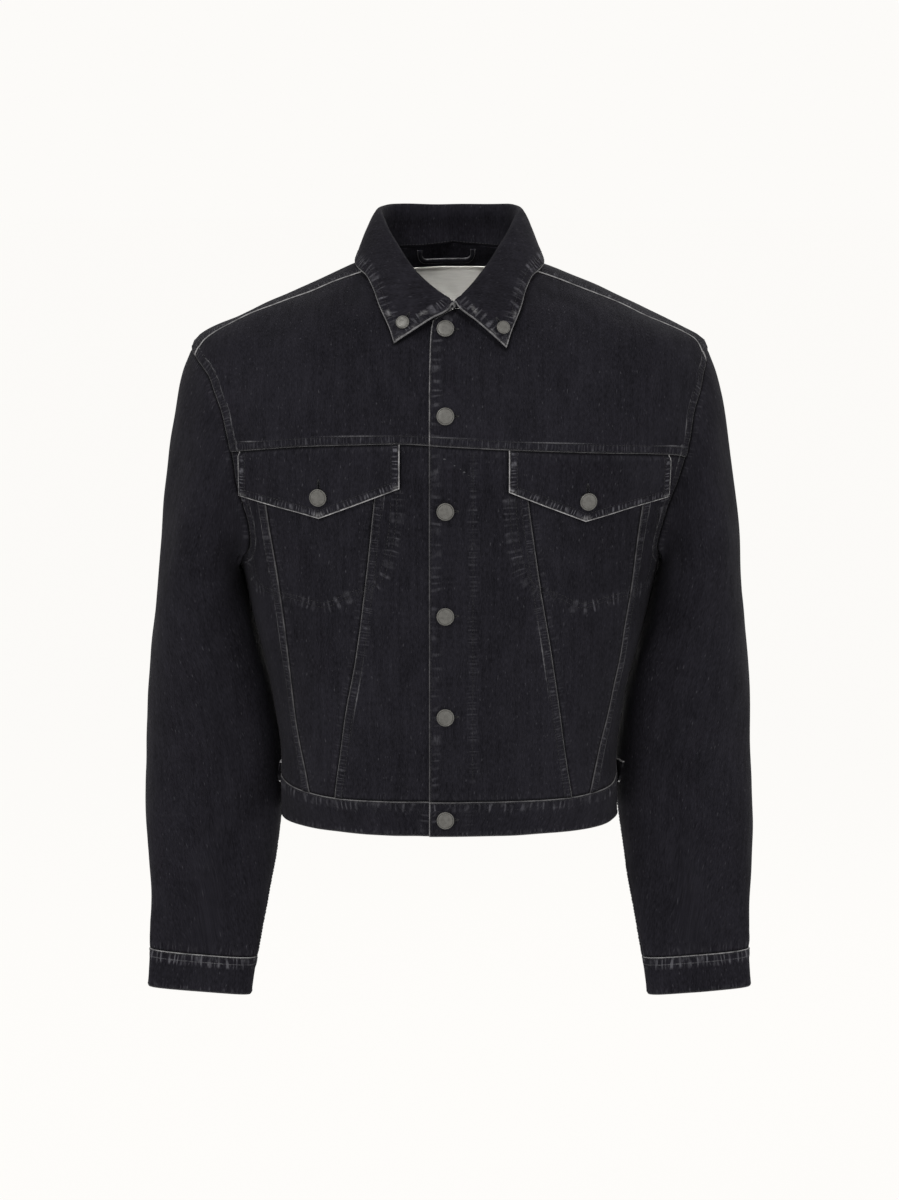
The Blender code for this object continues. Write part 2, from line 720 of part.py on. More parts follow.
def collar_sections():
    """Across the collar at each point of the neck edge: stand, fold and leaf, from one front end to the other."""
    sections = []
    for side in (RIGHT, LEFT):
        shoulder = cross(neck_line(side), 1.1, shoulder_line(side), 2 * MM)[0]
        front = np.linspace(0, shoulder, NECK_FRONT_COLUMNS + 1)
        front[0] = math.radians(COLLAR_END[side])
        behind = np.linspace(shoulder, np.pi, BACK_SIDE_COLUMNS + BACK_CENTRE_COLUMNS // 2 + 1)
        half = [collar_section(side, angle) for angle in chain(front, behind)]
        sections += half if side == RIGHT else half[-2::-1]
    return np.array(sections)


def collar_section(side, angle):
    fold_x, fold_y, fold_z, edge_angle, edge_height = follow(COLLAR, np.degrees(angle))
    neck = body_points(neck_line(side)(np.float64(angle))[None], side)[0][0]
    shift = FOLD_SHIFT * (1 - smoothstep(0, math.radians(30), angle))
    fold = np.array([side * fold_x, fold_y, fold_z]) * MM + np.array([shift, 0, 0])
    # towards centre front the leaf's edge turns into its point
    reach = TIP_FORWARD[side] * (1 - smoothstep(0, 1.0, angle))
    edge_patch = np.array([[side * math.radians(edge_angle), edge_height * MM - reach]])
    edge = body_points(edge_patch, LEFT, COLLAR_LIFT)[0][0]
    outwards = edge - neck
    outwards[2] = 0
    outwards = unit(outwards + np.array([0, -30 * MM, 0]) * (1 - smoothstep(0, 0.6, angle)))
    up = np.array([0, 0, 1])
    centre = fold - up * FOLD_RADIUS
    stand = unit(centre - outwards * FOLD_RADIUS - neck)
    start = neck + stand * 2.5 * GAP + up * END_CLEAR * (1 - smoothstep(0, 0.3, angle))
    stand_top = centre - outwards * FOLD_RADIUS
    points = [start, start + (stand_top - start) * 0.5, stand_top]
    for turn in (60, 115):
        turn = math.radians(turn)
        points.append(centre + FOLD_RADIUS * (up * math.sin(turn) - outwards * math.cos(turn)))
    leaf_top = points[-1] + (outwards * 0.8 - up) * FOLD_RADIUS * 0.9
    points.append(leaf_top)
    for share, bulge in ((0.33, 1.6), (0.66, 1.4)):
        points.append(leaf_top + (edge - leaf_top) * share + outwards * bulge * MM)
    points.append(edge)
    return points


def grid_normals(points):
    across = np.gradient(points, axis=0)
    down = np.gradient(points, axis=1)
    return unit(np.cross(across, down))


def add_collar():
    middle = collar_sections()
    normals = grid_normals(middle)
    return add_cloth("collar", middle + normals * DOUBLE / 2, normals * DOUBLE)


def waist_angles():
    """Where the waistband's facets begin and end: at those of the panels above it, from the upper end of the lap."""
    left = [ends[3] for ends in map(seam_ends, front_seams(LEFT))]
    right = [2 * np.pi + ends[3] for ends in map(seam_ends, front_seams(RIGHT))]
    behind = back_corners()[3]
    marks = [*left, np.pi / 2, behind, 2 * np.pi - behind, 1.5 * np.pi, *right[::-1]]
    front = [CENTRE_COLUMNS, PANEL_COLUMNS, SIDE_COLUMNS]
    counts = [*front, BACK_SIDE_COLUMNS, BACK_CENTRE_COLUMNS, BACK_SIDE_COLUMNS, *front[::-1]]
    return chain(*[np.linspace(a, b, count + 1) for a, b, count in zip(marks, marks[1:], counts)])


def add_waistband():
    """One strip from the upper front end round the back to the end that lies under it."""
    angle = waist_angles()[:, None]
    height = HEM + (waist_line(angle[:, 0])[:, 1:] - HEM) * np.linspace(0, 1, 3)
    angle, height = np.broadcast_arrays(angle, height)
    points, normals = torso(angle, height), facing(torso, angle, height)
    sunk = BAND_LAP * smoothstep(*(2 * np.pi - np.array(BAND_SINKS)), angle)
    points = points - normals * sunk[..., None]
    return add_cloth("waistband", trim(points, normals), normals * DOUBLE)


# ---------------------------------------------------------------- sleeves and cuffs


def add_sleeve(side, name, turns):
    """One of the sleeve's two pieces, from the armhole to the cuff, between the two seams that run down the arm."""
    ways = np.concatenate([np.linspace(0, 1, SLEEVE_HEAD_ROWS + 1), 1 + np.linspace(0, 1, SLEEVE_ROWS + 1)[1:]])
    turn, way = np.meshgrid(turns, ways, indexing="ij")
    surface = sleeve(side)
    normals = side * facing(surface, turn, np.clip(way, 2e-3, None))
    inwards = normals.copy()
    inwards[:, 0] = armhole_mitre(side, turns)
    return add_cloth(name, trim(surface(turn, way), normals), inwards * WALL)


def add_sleeves(side, word):
    """The under sleeve reaches from below the arm to the back yoke's seam, and the upper sleeve goes round the rest."""
    front_upper, front_lower, back_lower, back_upper = armhole_stretches(side)
    whole_turn = 2 * np.pi
    add_sleeve(side, "under_sleeve_" + word, back_lower)
    over_the_arm = chain(back_upper, front_upper + whole_turn, front_lower + whole_turn)
    add_sleeve(side, "upper_sleeve_" + word, over_the_arm)


def add_cuff(side, name):
    """The cuff, an open band whose ends lap behind the wrist."""
    once_round = CUFF_START + 2 * np.pi
    turn = np.linspace(CUFF_START, once_round + CUFF_LAP, CUFF_COLUMNS + 1)[:, None]
    height = np.linspace(CUFF_END, CUFF_SEAM - GAP, 3)[None, :]
    turn, height = np.broadcast_arrays(turn, height)

    def surface(turn, height):
        return sleeve_ring(side, turn, height)

    points = surface(turn, height)
    normals = -side * facing(surface, turn, height)
    sunk = BAND_LAP * smoothstep(*(once_round - np.array(CUFF_SINKS)), turn)
    points = points - normals * sunk[..., None]
    return add_cloth(name, trim(points, normals), normals * DOUBLE)


# ---------------------------------------------------------------- what is sewn on top


def flap_patch(side):
    """A flap from the yoke seam down to its pointed edge."""
    column = 0 if side == RIGHT else 2
    shares = np.linspace(0, 1, FLAP_COLUMNS + 1)
    # straight edges down to the point, not a smooth curve
    keys = [row[0] for row in FLAP_EDGE]
    x_low = MM * np.interp(shares, keys, [row[1 + column] for row in FLAP_EDGE])
    z_low = MM * np.interp(shares, keys, [row[2 + column] for row in FLAP_EDGE])
    x_high = x_low[0] + (x_low[-1] - x_low[0]) * shares
    z_high = front_yoke_line(x_high)[:, 1]
    share = np.linspace(0, 1, FLAP_ROWS + 1)
    height = z_low[:, None] + (z_high - z_low)[:, None] * share
    x = x_low[:, None] + (x_high - x_low)[:, None] * share
    return np.stack([angle_at_x(x, height), height], -1)


def add_flap(side, name):
    points, normals = body_points(flap_patch(side), LEFT, FLAP_LIFT + FLAP_WALL)
    return add_cloth(name, trim(points, normals), normals * FLAP_WALL)


def tab_angle(facet):
    """The angle a number of the back side panel's facets behind the side seam."""
    return np.pi / 2 + (back_corners()[3] - np.pi / 2) * facet / BACK_SIDE_COLUMNS


def add_waist_tab(side, name):
    """A tab sewn in at the side seam, where it stands off the cloth a little, and buttoned at its point behind."""
    facet, middle, half, low, high = np.array(WAIST_TAB).T[..., None]
    share = np.linspace(-1, 1, 3)
    height = MM * (middle + half * share)
    lift = np.minimum(MM * (low + (high - low) * (share + 1) / 2), MOST_STAND_OFF[side])
    angle = np.broadcast_to(side * tab_angle(facet), height.shape)
    points, normals = torso(angle, height), facing(torso, angle, height)
    points = points + normals * (lift[..., None] + DOUBLE)
    return add_cloth(name, points, normals * DOUBLE)


def rest_inside(piece, x, height, clear):
    """Points a little inside a piece of the back at these places, and the normals of the body there."""
    x, height = np.broadcast_arrays(x, height)
    angle = angle_at_x(x, height, back=True)
    points, normals = torso(angle, height), facing(torso, angle, height)
    cloth = tree_of([piece])
    start = points - normals * 15 * MM
    for place in np.ndindex(x.shape):
        hit = cloth.ray_cast(Vector(start[place]), Vector(normals[place]))[0]
        points[place] = np.array(hit) - normals[place] * clear
    return points, normals


def add_neck_label(yoke):
    """A plain label on the inside of the back yoke."""
    x = np.linspace(*LABEL_X, LABEL_COLUMNS + 1)[:, None]
    height = np.linspace(*LABEL_HEIGHT, LABEL_ROWS + 1)[None, :]
    points, normals = rest_inside(yoke, x, height, 4 * GAP)
    return add_cloth("neck_label", points, normals * LABEL_WALL, "label")


def add_hanger_loop(yoke):
    """A folded strip sewn into the neck seam at both ends, hanging as a shallow U."""
    (left, right), (low, high), bend = LOOP_X, LOOP_HEIGHT, LOOP_BEND
    corner = np.radians(np.linspace(0, 90, 4))
    middle = [(left, high), (left, (high + low + bend) / 2)]
    middle += [(left + bend * (1 - math.cos(a)), low + bend * (1 - math.sin(a))) for a in corner]
    middle += [((left + right) / 2, low)]
    middle += [(right - bend * (1 - math.sin(a)), low + bend * (1 - math.cos(a))) for a in corner]
    middle += [(right, (high + low + bend) / 2), (right, high)]
    middle = np.array(middle)
    forward = unit(np.gradient(middle, axis=0))
    aside = np.stack([-forward[:, 1], forward[:, 0]], -1)
    strip = middle[:, None] + aside[:, None] * (np.array([-0.5, 0.5]) * LOOP_WIDTH)[None, :, None]
    points, normals = rest_inside(yoke, strip[..., 0], strip[..., 1], 2 * GAP)
    return add_cloth("hanger_loop", points, normals * LOOP_WALL)


# ---------------------------------------------------------------- buttons


def seat_on(pieces, start, way, radius):
    """Where a round base comes down on cloth: its middle, just clear of the cloth, and the way it faces."""
    cloth = tree_of(pieces)
    way = Vector(way).normalized()
    middle = cloth.ray_cast(Vector(start), way)[0]
    sideways = way.orthogonal().normalized()
    rim = []
    for k in range(8):
        spoke = Matrix.Rotation(k * math.pi / 4, 3, way) @ sideways * radius
        rim.append(cloth.ray_cast(Vector(start) + spoke, way)[0])
    normal = Vector((0, 0, 0))
    for k in range(4):
        normal += (rim[k] - rim[k + 4]).cross(rim[(k + 2) % 8] - rim[(k + 6) % 8])
    normal.normalize()
    if normal.dot(way) > 0:
        normal.negate()
    highest = max(0, *((point - middle).dot(normal) for point in rim))
    return middle + normal * (highest + GAP), normal


def add_button(name, pieces, start, way, radius=BUTTON_RADIUS):
    """A metal jeans button: a foot, a rolled rim and a dished face, turned about its middle."""
    seat, normal = seat_on(pieces, start, way, 0.7 * radius)
    profile = ((0, 0), (0.62, 0), (1, 0.16), (1, 0.3), (0.84, 0.4), (0.7, 0.3), (0, 0.3))
    mesh = bmesh.new()
    line = [mesh.verts.new((r * radius, 0, z * radius)) for r, z in profile]
    edges = [mesh.edges.new(pair) for pair in zip(line, line[1:])]
    bmesh.ops.spin(
        mesh, geom=line + edges, axis=(0, 0, 1), cent=(0, 0, 0), angle=2 * math.pi, steps=BUTTON_SIDES
    )
    bmesh.ops.remove_doubles(mesh, verts=mesh.verts, dist=0.02 * MM)
    made = add_object(name, mesh, "metal")
    made.location = seat
    made.rotation_euler = normal.to_track_quat("Z", "Y").to_euler()
    return made


def in_front_of(x, height):
    return (x * MM, -0.4, height * MM)


def main():
    for old in list(bpy.data.objects):
        bpy.data.objects.remove(old)

    sides = ((RIGHT, "right"), (LEFT, "left"))
    made = {}
    for side, word in sides:
        edge, inner, outer = front_seams(side)
        made["yoke_" + word] = add_front_yoke(side, "front_yoke_" + word)
        made["centre_" + word] = add_lower_front("front_centre_" + word, edge, inner, side, CENTRE_COLUMNS)
        made["panel_" + word] = add_lower_front("front_panel_" + word, inner, outer, LEFT, PANEL_COLUMNS)
        add_front_side(side, "front_side_" + word)
        add_back_side(side, "back_side_" + word)
        add_sleeves(side, word)
        made["cuff_" + word] = add_cuff(side, "cuff_" + word)
        made["flap_" + word] = add_flap(side, "pocket_flap_" + word)
        made["tab_" + word] = add_waist_tab(side, "waist_tab_" + word)
    yoke = add_back_yoke()
    add_back_centre()
    made["collar"] = add_collar()
    made["waistband"] = add_waistband()
    add_neck_label(yoke)
    add_hanger_loop(yoke)

    button_cloth = [made[key] for key in ("yoke_left", "centre_left", "waistband")]
    for number, height in enumerate(BUTTON_HEIGHTS, start=1):
        start = in_front_of(BUTTON_LINE_X, height)
        add_button(f"front_button_{number}", button_cloth, start, (0, 1, 0))
    for side, word in sides:
        start = in_front_of(*COLLAR_BUTTONS[side])
        add_button("collar_button_" + word, [made["collar"]], start, (0, 1, 0), SMALL_BUTTON_RADIUS)
        start = in_front_of(*FLAP_BUTTONS[side])
        add_button("flap_button_" + word, [made["flap_" + word]], start, (0, 1, 0))
        start = (side * CUFF_BUTTON_X, 0.3, (CUFF_SEAM + CUFF_END) / 2)
        add_button("cuff_button_" + word, [made["cuff_" + word]], start, (0, -1, 0))
        angle = side * tab_angle(TAB_BUTTON_FACET)
        outwards = Vector(facing(torso, np.float64(angle), np.float64(TAB_BUTTON_HEIGHT)))
        start = Vector(torso(angle, TAB_BUTTON_HEIGHT)) + outwards * 0.1
        add_button("waist_tab_button_" + word, [made["tab_" + word]], start, -outwards, SMALL_BUTTON_RADIUS)


main()
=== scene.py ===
# %% [markdown]
# # A cropped denim jacket
#
# This lesson dresses the plain solids of a jacket in washed black denim. The jacket is buttoned up and
# filled out, with nobody in it. The solids come from a frame file and say where each piece of cloth and
# each button is. Every piece is then cut again here as a fine shell with felled seams, puckers, worn edges
# and creases.

import json
import math

import bpy
import numpy as np
from mathutils import Matrix, Vector
from mathutils.bvhtree import BVHTree

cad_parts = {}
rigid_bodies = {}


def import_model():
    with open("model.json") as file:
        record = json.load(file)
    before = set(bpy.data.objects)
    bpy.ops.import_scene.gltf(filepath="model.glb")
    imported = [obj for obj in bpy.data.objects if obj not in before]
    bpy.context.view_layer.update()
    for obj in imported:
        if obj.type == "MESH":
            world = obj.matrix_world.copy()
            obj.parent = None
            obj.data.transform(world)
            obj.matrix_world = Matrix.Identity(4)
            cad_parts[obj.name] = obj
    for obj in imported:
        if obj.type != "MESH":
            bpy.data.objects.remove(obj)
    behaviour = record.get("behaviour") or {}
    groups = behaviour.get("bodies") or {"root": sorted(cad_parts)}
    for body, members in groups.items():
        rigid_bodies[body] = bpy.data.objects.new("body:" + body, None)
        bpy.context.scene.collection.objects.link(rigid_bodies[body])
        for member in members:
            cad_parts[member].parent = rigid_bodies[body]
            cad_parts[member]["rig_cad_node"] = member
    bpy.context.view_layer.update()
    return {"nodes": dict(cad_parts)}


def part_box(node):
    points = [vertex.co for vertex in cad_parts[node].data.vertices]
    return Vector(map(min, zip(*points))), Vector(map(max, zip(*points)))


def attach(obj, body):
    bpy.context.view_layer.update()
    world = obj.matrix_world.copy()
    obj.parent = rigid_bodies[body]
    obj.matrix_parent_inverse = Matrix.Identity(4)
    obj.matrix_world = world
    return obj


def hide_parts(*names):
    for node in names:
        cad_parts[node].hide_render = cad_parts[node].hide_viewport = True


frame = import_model()
print("solids in the frame:", len(frame["nodes"]))

# %% [markdown]
# ## Camera
#
# A product camera stands three metres away with a long lens, a little above the middle of the jacket, and
# looks down on it by seven and a half degrees. The long lens keeps the sleeves from spreading.

# %% Set up the camera
CAMERA_DISTANCE = 3.0
CAMERA_HEIGHT = 0.062
CAMERA_DROP = 0.395
LOOK_DOWN = math.atan(CAMERA_DROP / CAMERA_DISTANCE)
LENS, SENSOR = 90, 36



def add_object(name, data):
    """A new object at the origin."""
    made = bpy.data.objects.new(name, data)
    bpy.context.scene.collection.objects.link(made)
    return made


camera_data = bpy.data.cameras.new("camera")
camera_data.lens = LENS
camera_data.sensor_width = SENSOR
camera = add_object("camera", camera_data)
camera.location = (0, -CAMERA_DISTANCE, CAMERA_HEIGHT)
camera.rotation_euler = (math.pi / 2 - LOOK_DOWN, 0, 0)
bpy.context.scene.camera = camera
bpy.context.scene.view_settings.view_transform = "Standard"
print("camera looks down by", round(math.degrees(LOOK_DOWN), 1), "degrees")

# %% [markdown]
# ## Floor and light
#
# Black cloth is lit by large soft lights, or its folds turn into hard lines. The sky here is one pale
# colour all round, with a large panel light high in front on the left, a weaker one on the right and a rim
# light behind. A narrow beam goes in through the neck, so that the inside of the back isn't lost in the
# dark. The floor glows a little, so that it fades into the sky with no horizon.

# %% Floor, sky and lights
SKY = (0.985, 0.972, 0.95)
SKY_STRENGTH = 0.99
FLOOR_LEVEL = -1.3
FLOOR_RADIUS = 300
FLOOR_TINT = (0.08, 0.0795, 0.079)
FLOOR_GLOW = 0.908


def deselect():
    """Nothing selected, so that an operator works only on what comes next."""
    bpy.ops.object.select_all(action="DESELECT")


def new_material(name):
    """A material, its node tree and its shader."""
    material = bpy.data.materials.new(name)
    material.use_nodes = True
    return material, material.node_tree, material.node_tree.nodes["Principled BSDF"]


deselect()
bpy.ops.mesh.primitive_circle_add(
    vertices=64, radius=FLOOR_RADIUS, fill_type="NGON", location=(0, 0, FLOOR_LEVEL)
)
floor = bpy.context.object
floor.name = "floor"
floor_material, _, shader = new_material("pale floor")
shader.inputs["Base Color"].default_value = (*FLOOR_TINT, 1)
shader.inputs["Roughness"].default_value = 0.95
shader.inputs["Specular IOR Level"].default_value = 0.0
shader.inputs["Emission Color"].default_value = (*SKY, 1)
shader.inputs["Emission Strength"].default_value = FLOOR_GLOW
floor.data.materials.append(floor_material)

world = bpy.data.worlds.new("soft sky")
world.use_nodes = True
background = world.node_tree.nodes["Background"]
background.inputs["Color"].default_value = (*SKY, 1)
background.inputs["Strength"].default_value = SKY_STRENGTH
bpy.context.scene.world = world


def panel_light(name, place, size, power, aim=(0, 0, -0.35)):
    """A square soft light that faces the jacket, as its data."""
    data = bpy.data.lights.new(name, "AREA")
    data.size = size
    data.energy = power
    light = add_object(name, data)
    light.location = place
    light.rotation_euler = (Vector(aim) - Vector(place)).to_track_quat("-Z", "Y").to_euler()
    return data


# place, size and power
LIGHTS = {
    "key light": ((-1.5, -2.2, 1.8), 1.0, 23),
    "fill light": ((2.2, -2.0, 0.7), 1.6, 8),
    "rim light": ((0.6, 2.4, 1.6), 1.2, 24),
}
BEAM = ((0.003, -0.8, 0.87), 0.085, 0.008)
BEAM_AIM = (0.003, 0.085, -0.018)
BEAM_HEIGHT = 0.02
BEAM_SPREAD = math.radians(2)

for name, settings in LIGHTS.items():
    panel_light(name, *settings)
beam = panel_light("neck beam", *BEAM, aim=BEAM_AIM)
beam.shape = "RECTANGLE"
beam.size_y = BEAM_HEIGHT
beam.spread = BEAM_SPREAD

# %% [markdown]
# ## Measures of the jacket
#
# A pattern cutter works from a block: the girth at several heights, where each seam runs and how wide the
# sleeve is. The tables hold the same measures as the solids were built from, in millimetres and degrees, so
# that every fine shell lies in the place of its solid.

# %% The body's outline and the edges on it
MM = 0.001
LEFT, RIGHT = 1, -1
SIDES = ((RIGHT, "right"), (LEFT, "left"))
NUDGE = 2e-3  # the step to both sides of a place when the slope there is measured
WALL = 1.4 * MM
DOUBLE = 2.4 * MM
GAP = 0.3 * MM
LAP = WALL + 3 * GAP
BAND_LAP = DOUBLE + 2 * GAP
SHOULDER_SEAM_Y = -40 * MM
ARMHOLE_TOP = -78.5 * MM
ARMHOLE_FOOT = -285 * MM
BACK_YOKE_SEAM = -165 * MM
HEM = -551 * MM
CUFF_SEAM = -697.7 * MM
CUFF_END = -737 * MM

# height, half width, front depth, back depth, squareness of the ring
TORSO = (
    (24, 67, 35, 62, 2.1),
    (12, 78, 45, 72, 2.1),
    (0, 104, 57, 82, 2.15),
    (-20, 151.5, 75, 94, 2.2),
    (-39, 193.5, 92, 103, 2.3),
    (-62.5, 244, 104, 110, 2.4),
    (-69.5, 252, 107, 112, 2.45),
    (-78.5, 256, 110, 115, 2.5),
    (-100, 263, 116, 119, 2.5),
    (-120, 266, 120, 122, 2.5),
    (-160, 262, 126, 126, 2.5),
    (-200, 250, 128, 127, 2.45),
    (-236, 232, 128, 125, 2.4),
    (-250, 225, 127, 124, 2.4),
    (-284, 211, 126, 121, 2.4),
    (-353, 195, 124, 114, 2.4),
    (-435, 175.5, 121, 106, 2.4),
    (-496, 167.5, 120, 102, 2.45),
    (-512, 169.5, 120, 101, 2.5),
    (-553, 170.5, 120, 100, 2.2),
)
# angle from centre front, height
NECKLINE = (
    (-9.4, -48),
    (0, -39.5),
    (15, -34),
    (30, -20),
    (45, -6),
    (60, 4),
    (75, 9),
    (90, 12),
    (130, 19),
    (180, 24),
)
# height, then how far the armhole is cut in: front right, front left, back
ARMHOLE = (
    (-78.5, 0, 0, 0),
    (-109, 32, 17, 20),
    (-145, 44, 26, 28),
    (-175.5, 45.5, 25.5, 29),
    (-213.5, 37, 22.5, 24),
    (-250, 28, 15, 19),
    (-274, 17, 9, 12),
    (-285, 0, 0, 0),
)
# height, distance past the centre
FRONT_EDGE = ((-560, 20), (-123, 19.8), (-71, 18.8), (-56, 17.6), (-48, 15.9))
# x, height
FRONT_YOKE_SEAM = (
    (-225, -177.5),
    (-136, -169),
    (-80, -166.8),
    (-48, -166),
    (0, -168.7),
    (59, -171.8),
    (133, -175.2),
    (212, -178.8),
    (245, -186),
)
# height, then x of right outer, right inner, left inner, left outer
SLANTED_SEAMS = (
    (-160, -188, -65, 69, 194.5),
    (-227, -178.5, -73.5, 77, 189),
    (-300, -167.5, -81.5, 87.5, 180.5),
    (-373, -159.5, -91, 99.5, 170.5),
    (-439, -152, -103, 109.5, 158),
    (-520, -138.5, -114, 121, 136.5),
)
RIGHT_OUTER, RIGHT_INNER, LEFT_INNER, LEFT_OUTER = range(4)
# height, distance from the centre
BACK_SEAM = ((-160, 142), (-340, 116), (-520, 86))
# angle from centre front, height
WAIST_SEAM = ((0, -516.6), (45, -516.4), (60, -514.4), (72, -511.4), (90, -508), (180, -508))

# %% The collar, the sleeves and what is sewn on
# neck angle; fold x, y, z; the leaf's edge as an angle and a height
COLLAR = (
    (0, -0.5, -99, -33, 26.5, -71),
    (15, 20.5, -88.5, -15.5, 29.5, -59),
    (30, 37.5, -70.5, 2.5, 35.5, -42.5),
    (45, 51, -49.5, 23, 43.5, -26.5),
    (60, 62, -29, 41, 59, -7.5),
    (90, 70, 3, 57, 90, 6),
    (130, 57, 37, 62, 131, 2),
    (180, 0, 53, 62, 180, -4),
)
COLLAR_END = {RIGHT: 0.3, LEFT: 1.8}
FOLD_SHIFT = 3.2 * MM
END_CLEAR = 0.7 * MM
COLLAR_LIFT = 3.6 * MM
FOLD_RADIUS = 2.8 * MM
TIP_FORWARD = {RIGHT: 0.0, LEFT: 5.5 * MM}
# height, outer x, inner x, centre y, half depth, squareness, tilt
SLEEVE = (
    (-315, 295, 206.5, 18, 84, 2.3, 0),
    (-353, 299.3, 198.5, 25, 79, 2.4, 0),
    (-435, 307.6, 179, 40, 68, 2.4, 0.3),
    (-496, 311.5, 170, 48, 60, 2.4, 0.8),
    (-530, 313.2, 172, 49, 55, 2.4, 1.2),
    (-568, 313, 177, 44, 49, 2.5, 1.9),
    (-610, 311, 182, 35, 40, 2.6, 2.9),
    (-640, 309.5, 187, 26, 32, 2.8, 3.7),
    (-670, 308, 192.5, 17, 25, 3, 4.4),
    (-697.7, 307.3, 197.7, 11, 19, 3.2, 4.8),
    (-737, 309, 203.3, 8, 15, 3.6, 4.8),
)
# turn round the arm, steepness, reach
SLEEVE_HEAD = ((0, 66, 0.55), (90, 55, 0.7), (180, 42, 0.8), (270, 55, 0.7), (360, 66, 0.55))
# share of the width; right x, z; left x, z
FLAP_EDGE = (
    (0, -204, -218.4, 57, -212),
    (0.5, -125.5, -238.2, 131.4, -241.6),
    (1, -48, -208.4, 213, -219.7),
)
# facet number behind the side seam, middle height, half width, stand-off below, stand-off above
WAIST_TAB = (
    (-0.12, -508, 10, 1.2, 8),
    (0, -508.8, 11, 1, 5.6),
    (1, -512.5, 12, 0.7, 1.9),
    (2, -515, 12, 0.7, 1.7),
    (3, -517, 12, 0.7, 1.4),
    (3.4, -517.8, 6, 0.7, 1),
)
MOST_STAND_OFF = {RIGHT: 2.2 * MM, LEFT: 10 * MM}
CUFF_START, CUFF_LAP = math.radians(262), math.radians(34)
CUFF_SINKS = (math.radians(29), math.radians(5))
BAND_SINKS = (math.radians(26), math.radians(13))
print("rows of measures:", len(TORSO) + len(ARMHOLE) + len(COLLAR) + len(SLEEVE))

# %% [markdown]
# ## The form under the cloth
#
# The body is a stack of rings, each a rounded or squarer ellipse. A place on it is an angle round the body
# and a height. Each seam is a line of such places, so two pieces that are sewn together share exactly the
# same edge.

# %% Read a table smoothly


def follow(table, at):
    """A table's columns at values of its first column, with no overshoot between its rows."""
    rows = np.array(sorted(table), float)
    keys, values = rows[:, 0], rows[:, 1:]
    steps = np.diff(keys)[:, None]
    slopes = np.diff(values, axis=0) / steps
    same_way = slopes[:-1] * slopes[1:] > 0
    total = np.where(same_way, slopes[:-1] + slopes[1:], 1)
    middle = np.where(same_way, 2 * slopes[:-1] * slopes[1:] / total, 0)
    tangents = np.vstack([slopes[:1], middle, slopes[-1:]])
    at = np.asarray(at, float)
    row = np.clip(np.searchsorted(keys, at) - 1, 0, len(keys) - 2)
    step = steps[row]
    t = np.clip((at - keys[row]) / step[..., 0], 0, 1)[..., None]
    start = (1 + 2 * t) * (1 - t) ** 2 * values[row] + t * (1 - t) ** 2 * step * tangents[row]
    end = t * t * (3 - 2 * t) * values[row + 1] - t * t * (1 - t) * step * tangents[row + 1]
    return start + end


def smoothstep(low, high, value):
    t = np.clip((value - low) / (high - low), 0, 1)
    return t * t * (3 - 2 * t)


def unit(vectors):
    return vectors / np.maximum(np.linalg.norm(vectors, axis=-1, keepdims=True), 1e-12)


# %% The body's surface


def ring_sizes(height):
    half_width, front, back, squareness = np.moveaxis(follow(TORSO, np.asarray(height) / MM), -1, 0)
    return half_width * MM, front * MM, back * MM, squareness


def torso(angle, height):
    """The body's outer surface."""
    angle, height = np.broadcast_arrays(np.asarray(angle, float), np.asarray(height, float))
    half_width, front, back, power = ring_sizes(height)
    depth = np.where(np.cos(angle) > 0, front, back)
    across, along_y = np.abs(np.sin(angle)) / half_width, np.abs(np.cos(angle)) / depth
    radius = (across**power + along_y**power) ** (-1 / power)
    return np.stack([radius * np.sin(angle), -radius * np.cos(angle), height], -1)


def on_body(patch):
    """The points of the body's surface at angles and heights."""
    return torso(patch[..., 0], patch[..., 1])


def facing(surface, first, second):
    """Unit normals of surface(first, second)."""
    along_first = surface(first + NUDGE, second) - surface(first - NUDGE, second)
    along_second = surface(first, second + NUDGE) - surface(first, second - NUDGE)
    return unit(np.cross(along_first, along_second))


def body_skin(angle, height):
    """Points of the body's surface, and the way out of the body there."""
    return torso(angle, height), facing(torso, angle, height)


def angle_at_x(x, height, back=False):
    half_width, front, rear, power = ring_sizes(height)
    depth = rear if back else front
    share = np.clip(np.abs(x) / half_width, 0, 1)
    y = depth * (1 - share**power) ** (1 / power)
    return np.arctan2(x, -y if back else y)


def angle_at_front_y(y, height, side):
    half_width, front, _, power = ring_sizes(height)
    x = half_width * (1 - np.abs(y / front) ** power) ** (1 / power)
    return side * np.arctan2(x, -y)


# %% Seam lines on the body


def neck_line(side):
    return lambda angle: np.stack([side * angle, follow(NECKLINE, np.degrees(angle))[..., 0] * MM], -1)


def shoulder_line(side):
    return lambda height: np.stack([angle_at_front_y(SHOULDER_SEAM_Y, height, side), height], -1)


def armhole_line(side):
    """By the turn round the arm: 0 at the top, 90 degrees in front, 180 under the arm."""

    def at(turn):
        height = ARMHOLE_TOP + (ARMHOLE_FOOT - ARMHOLE_TOP) * (1 - np.cos(turn)) / 2
        front_right, front_left, behind = np.moveaxis(follow(ARMHOLE, height / MM), -1, 0)
        front = front_left if side == LEFT else front_right
        in_front = np.sin(turn) >= 0
        x = ring_sizes(height)[0] - MM * np.where(in_front, front, behind)
        angle = np.where(in_front, angle_at_x(x, height), angle_at_x(x, height, back=True))
        return np.stack([side * angle, height], -1)

    return at


def line_down(table, column=0, sign=1, back=False):
    """A line down the body whose distance from the centre a table gives by height."""

    def at(height):
        x = sign * MM * follow(table, height / MM)[..., column]
        return np.stack([angle_at_x(x, height, back), height], -1)

    return at


def front_yoke_line(x):
    height = MM * follow(FRONT_YOKE_SEAM, x / MM)[..., 0]
    return np.stack([angle_at_x(x, height), height], -1)


def back_slanted_line(side):
    return line_down(BACK_SEAM, sign=side, back=True)


def back_yoke_line(angle):
    return np.stack([angle, np.full_like(angle, BACK_YOKE_SEAM)], -1)


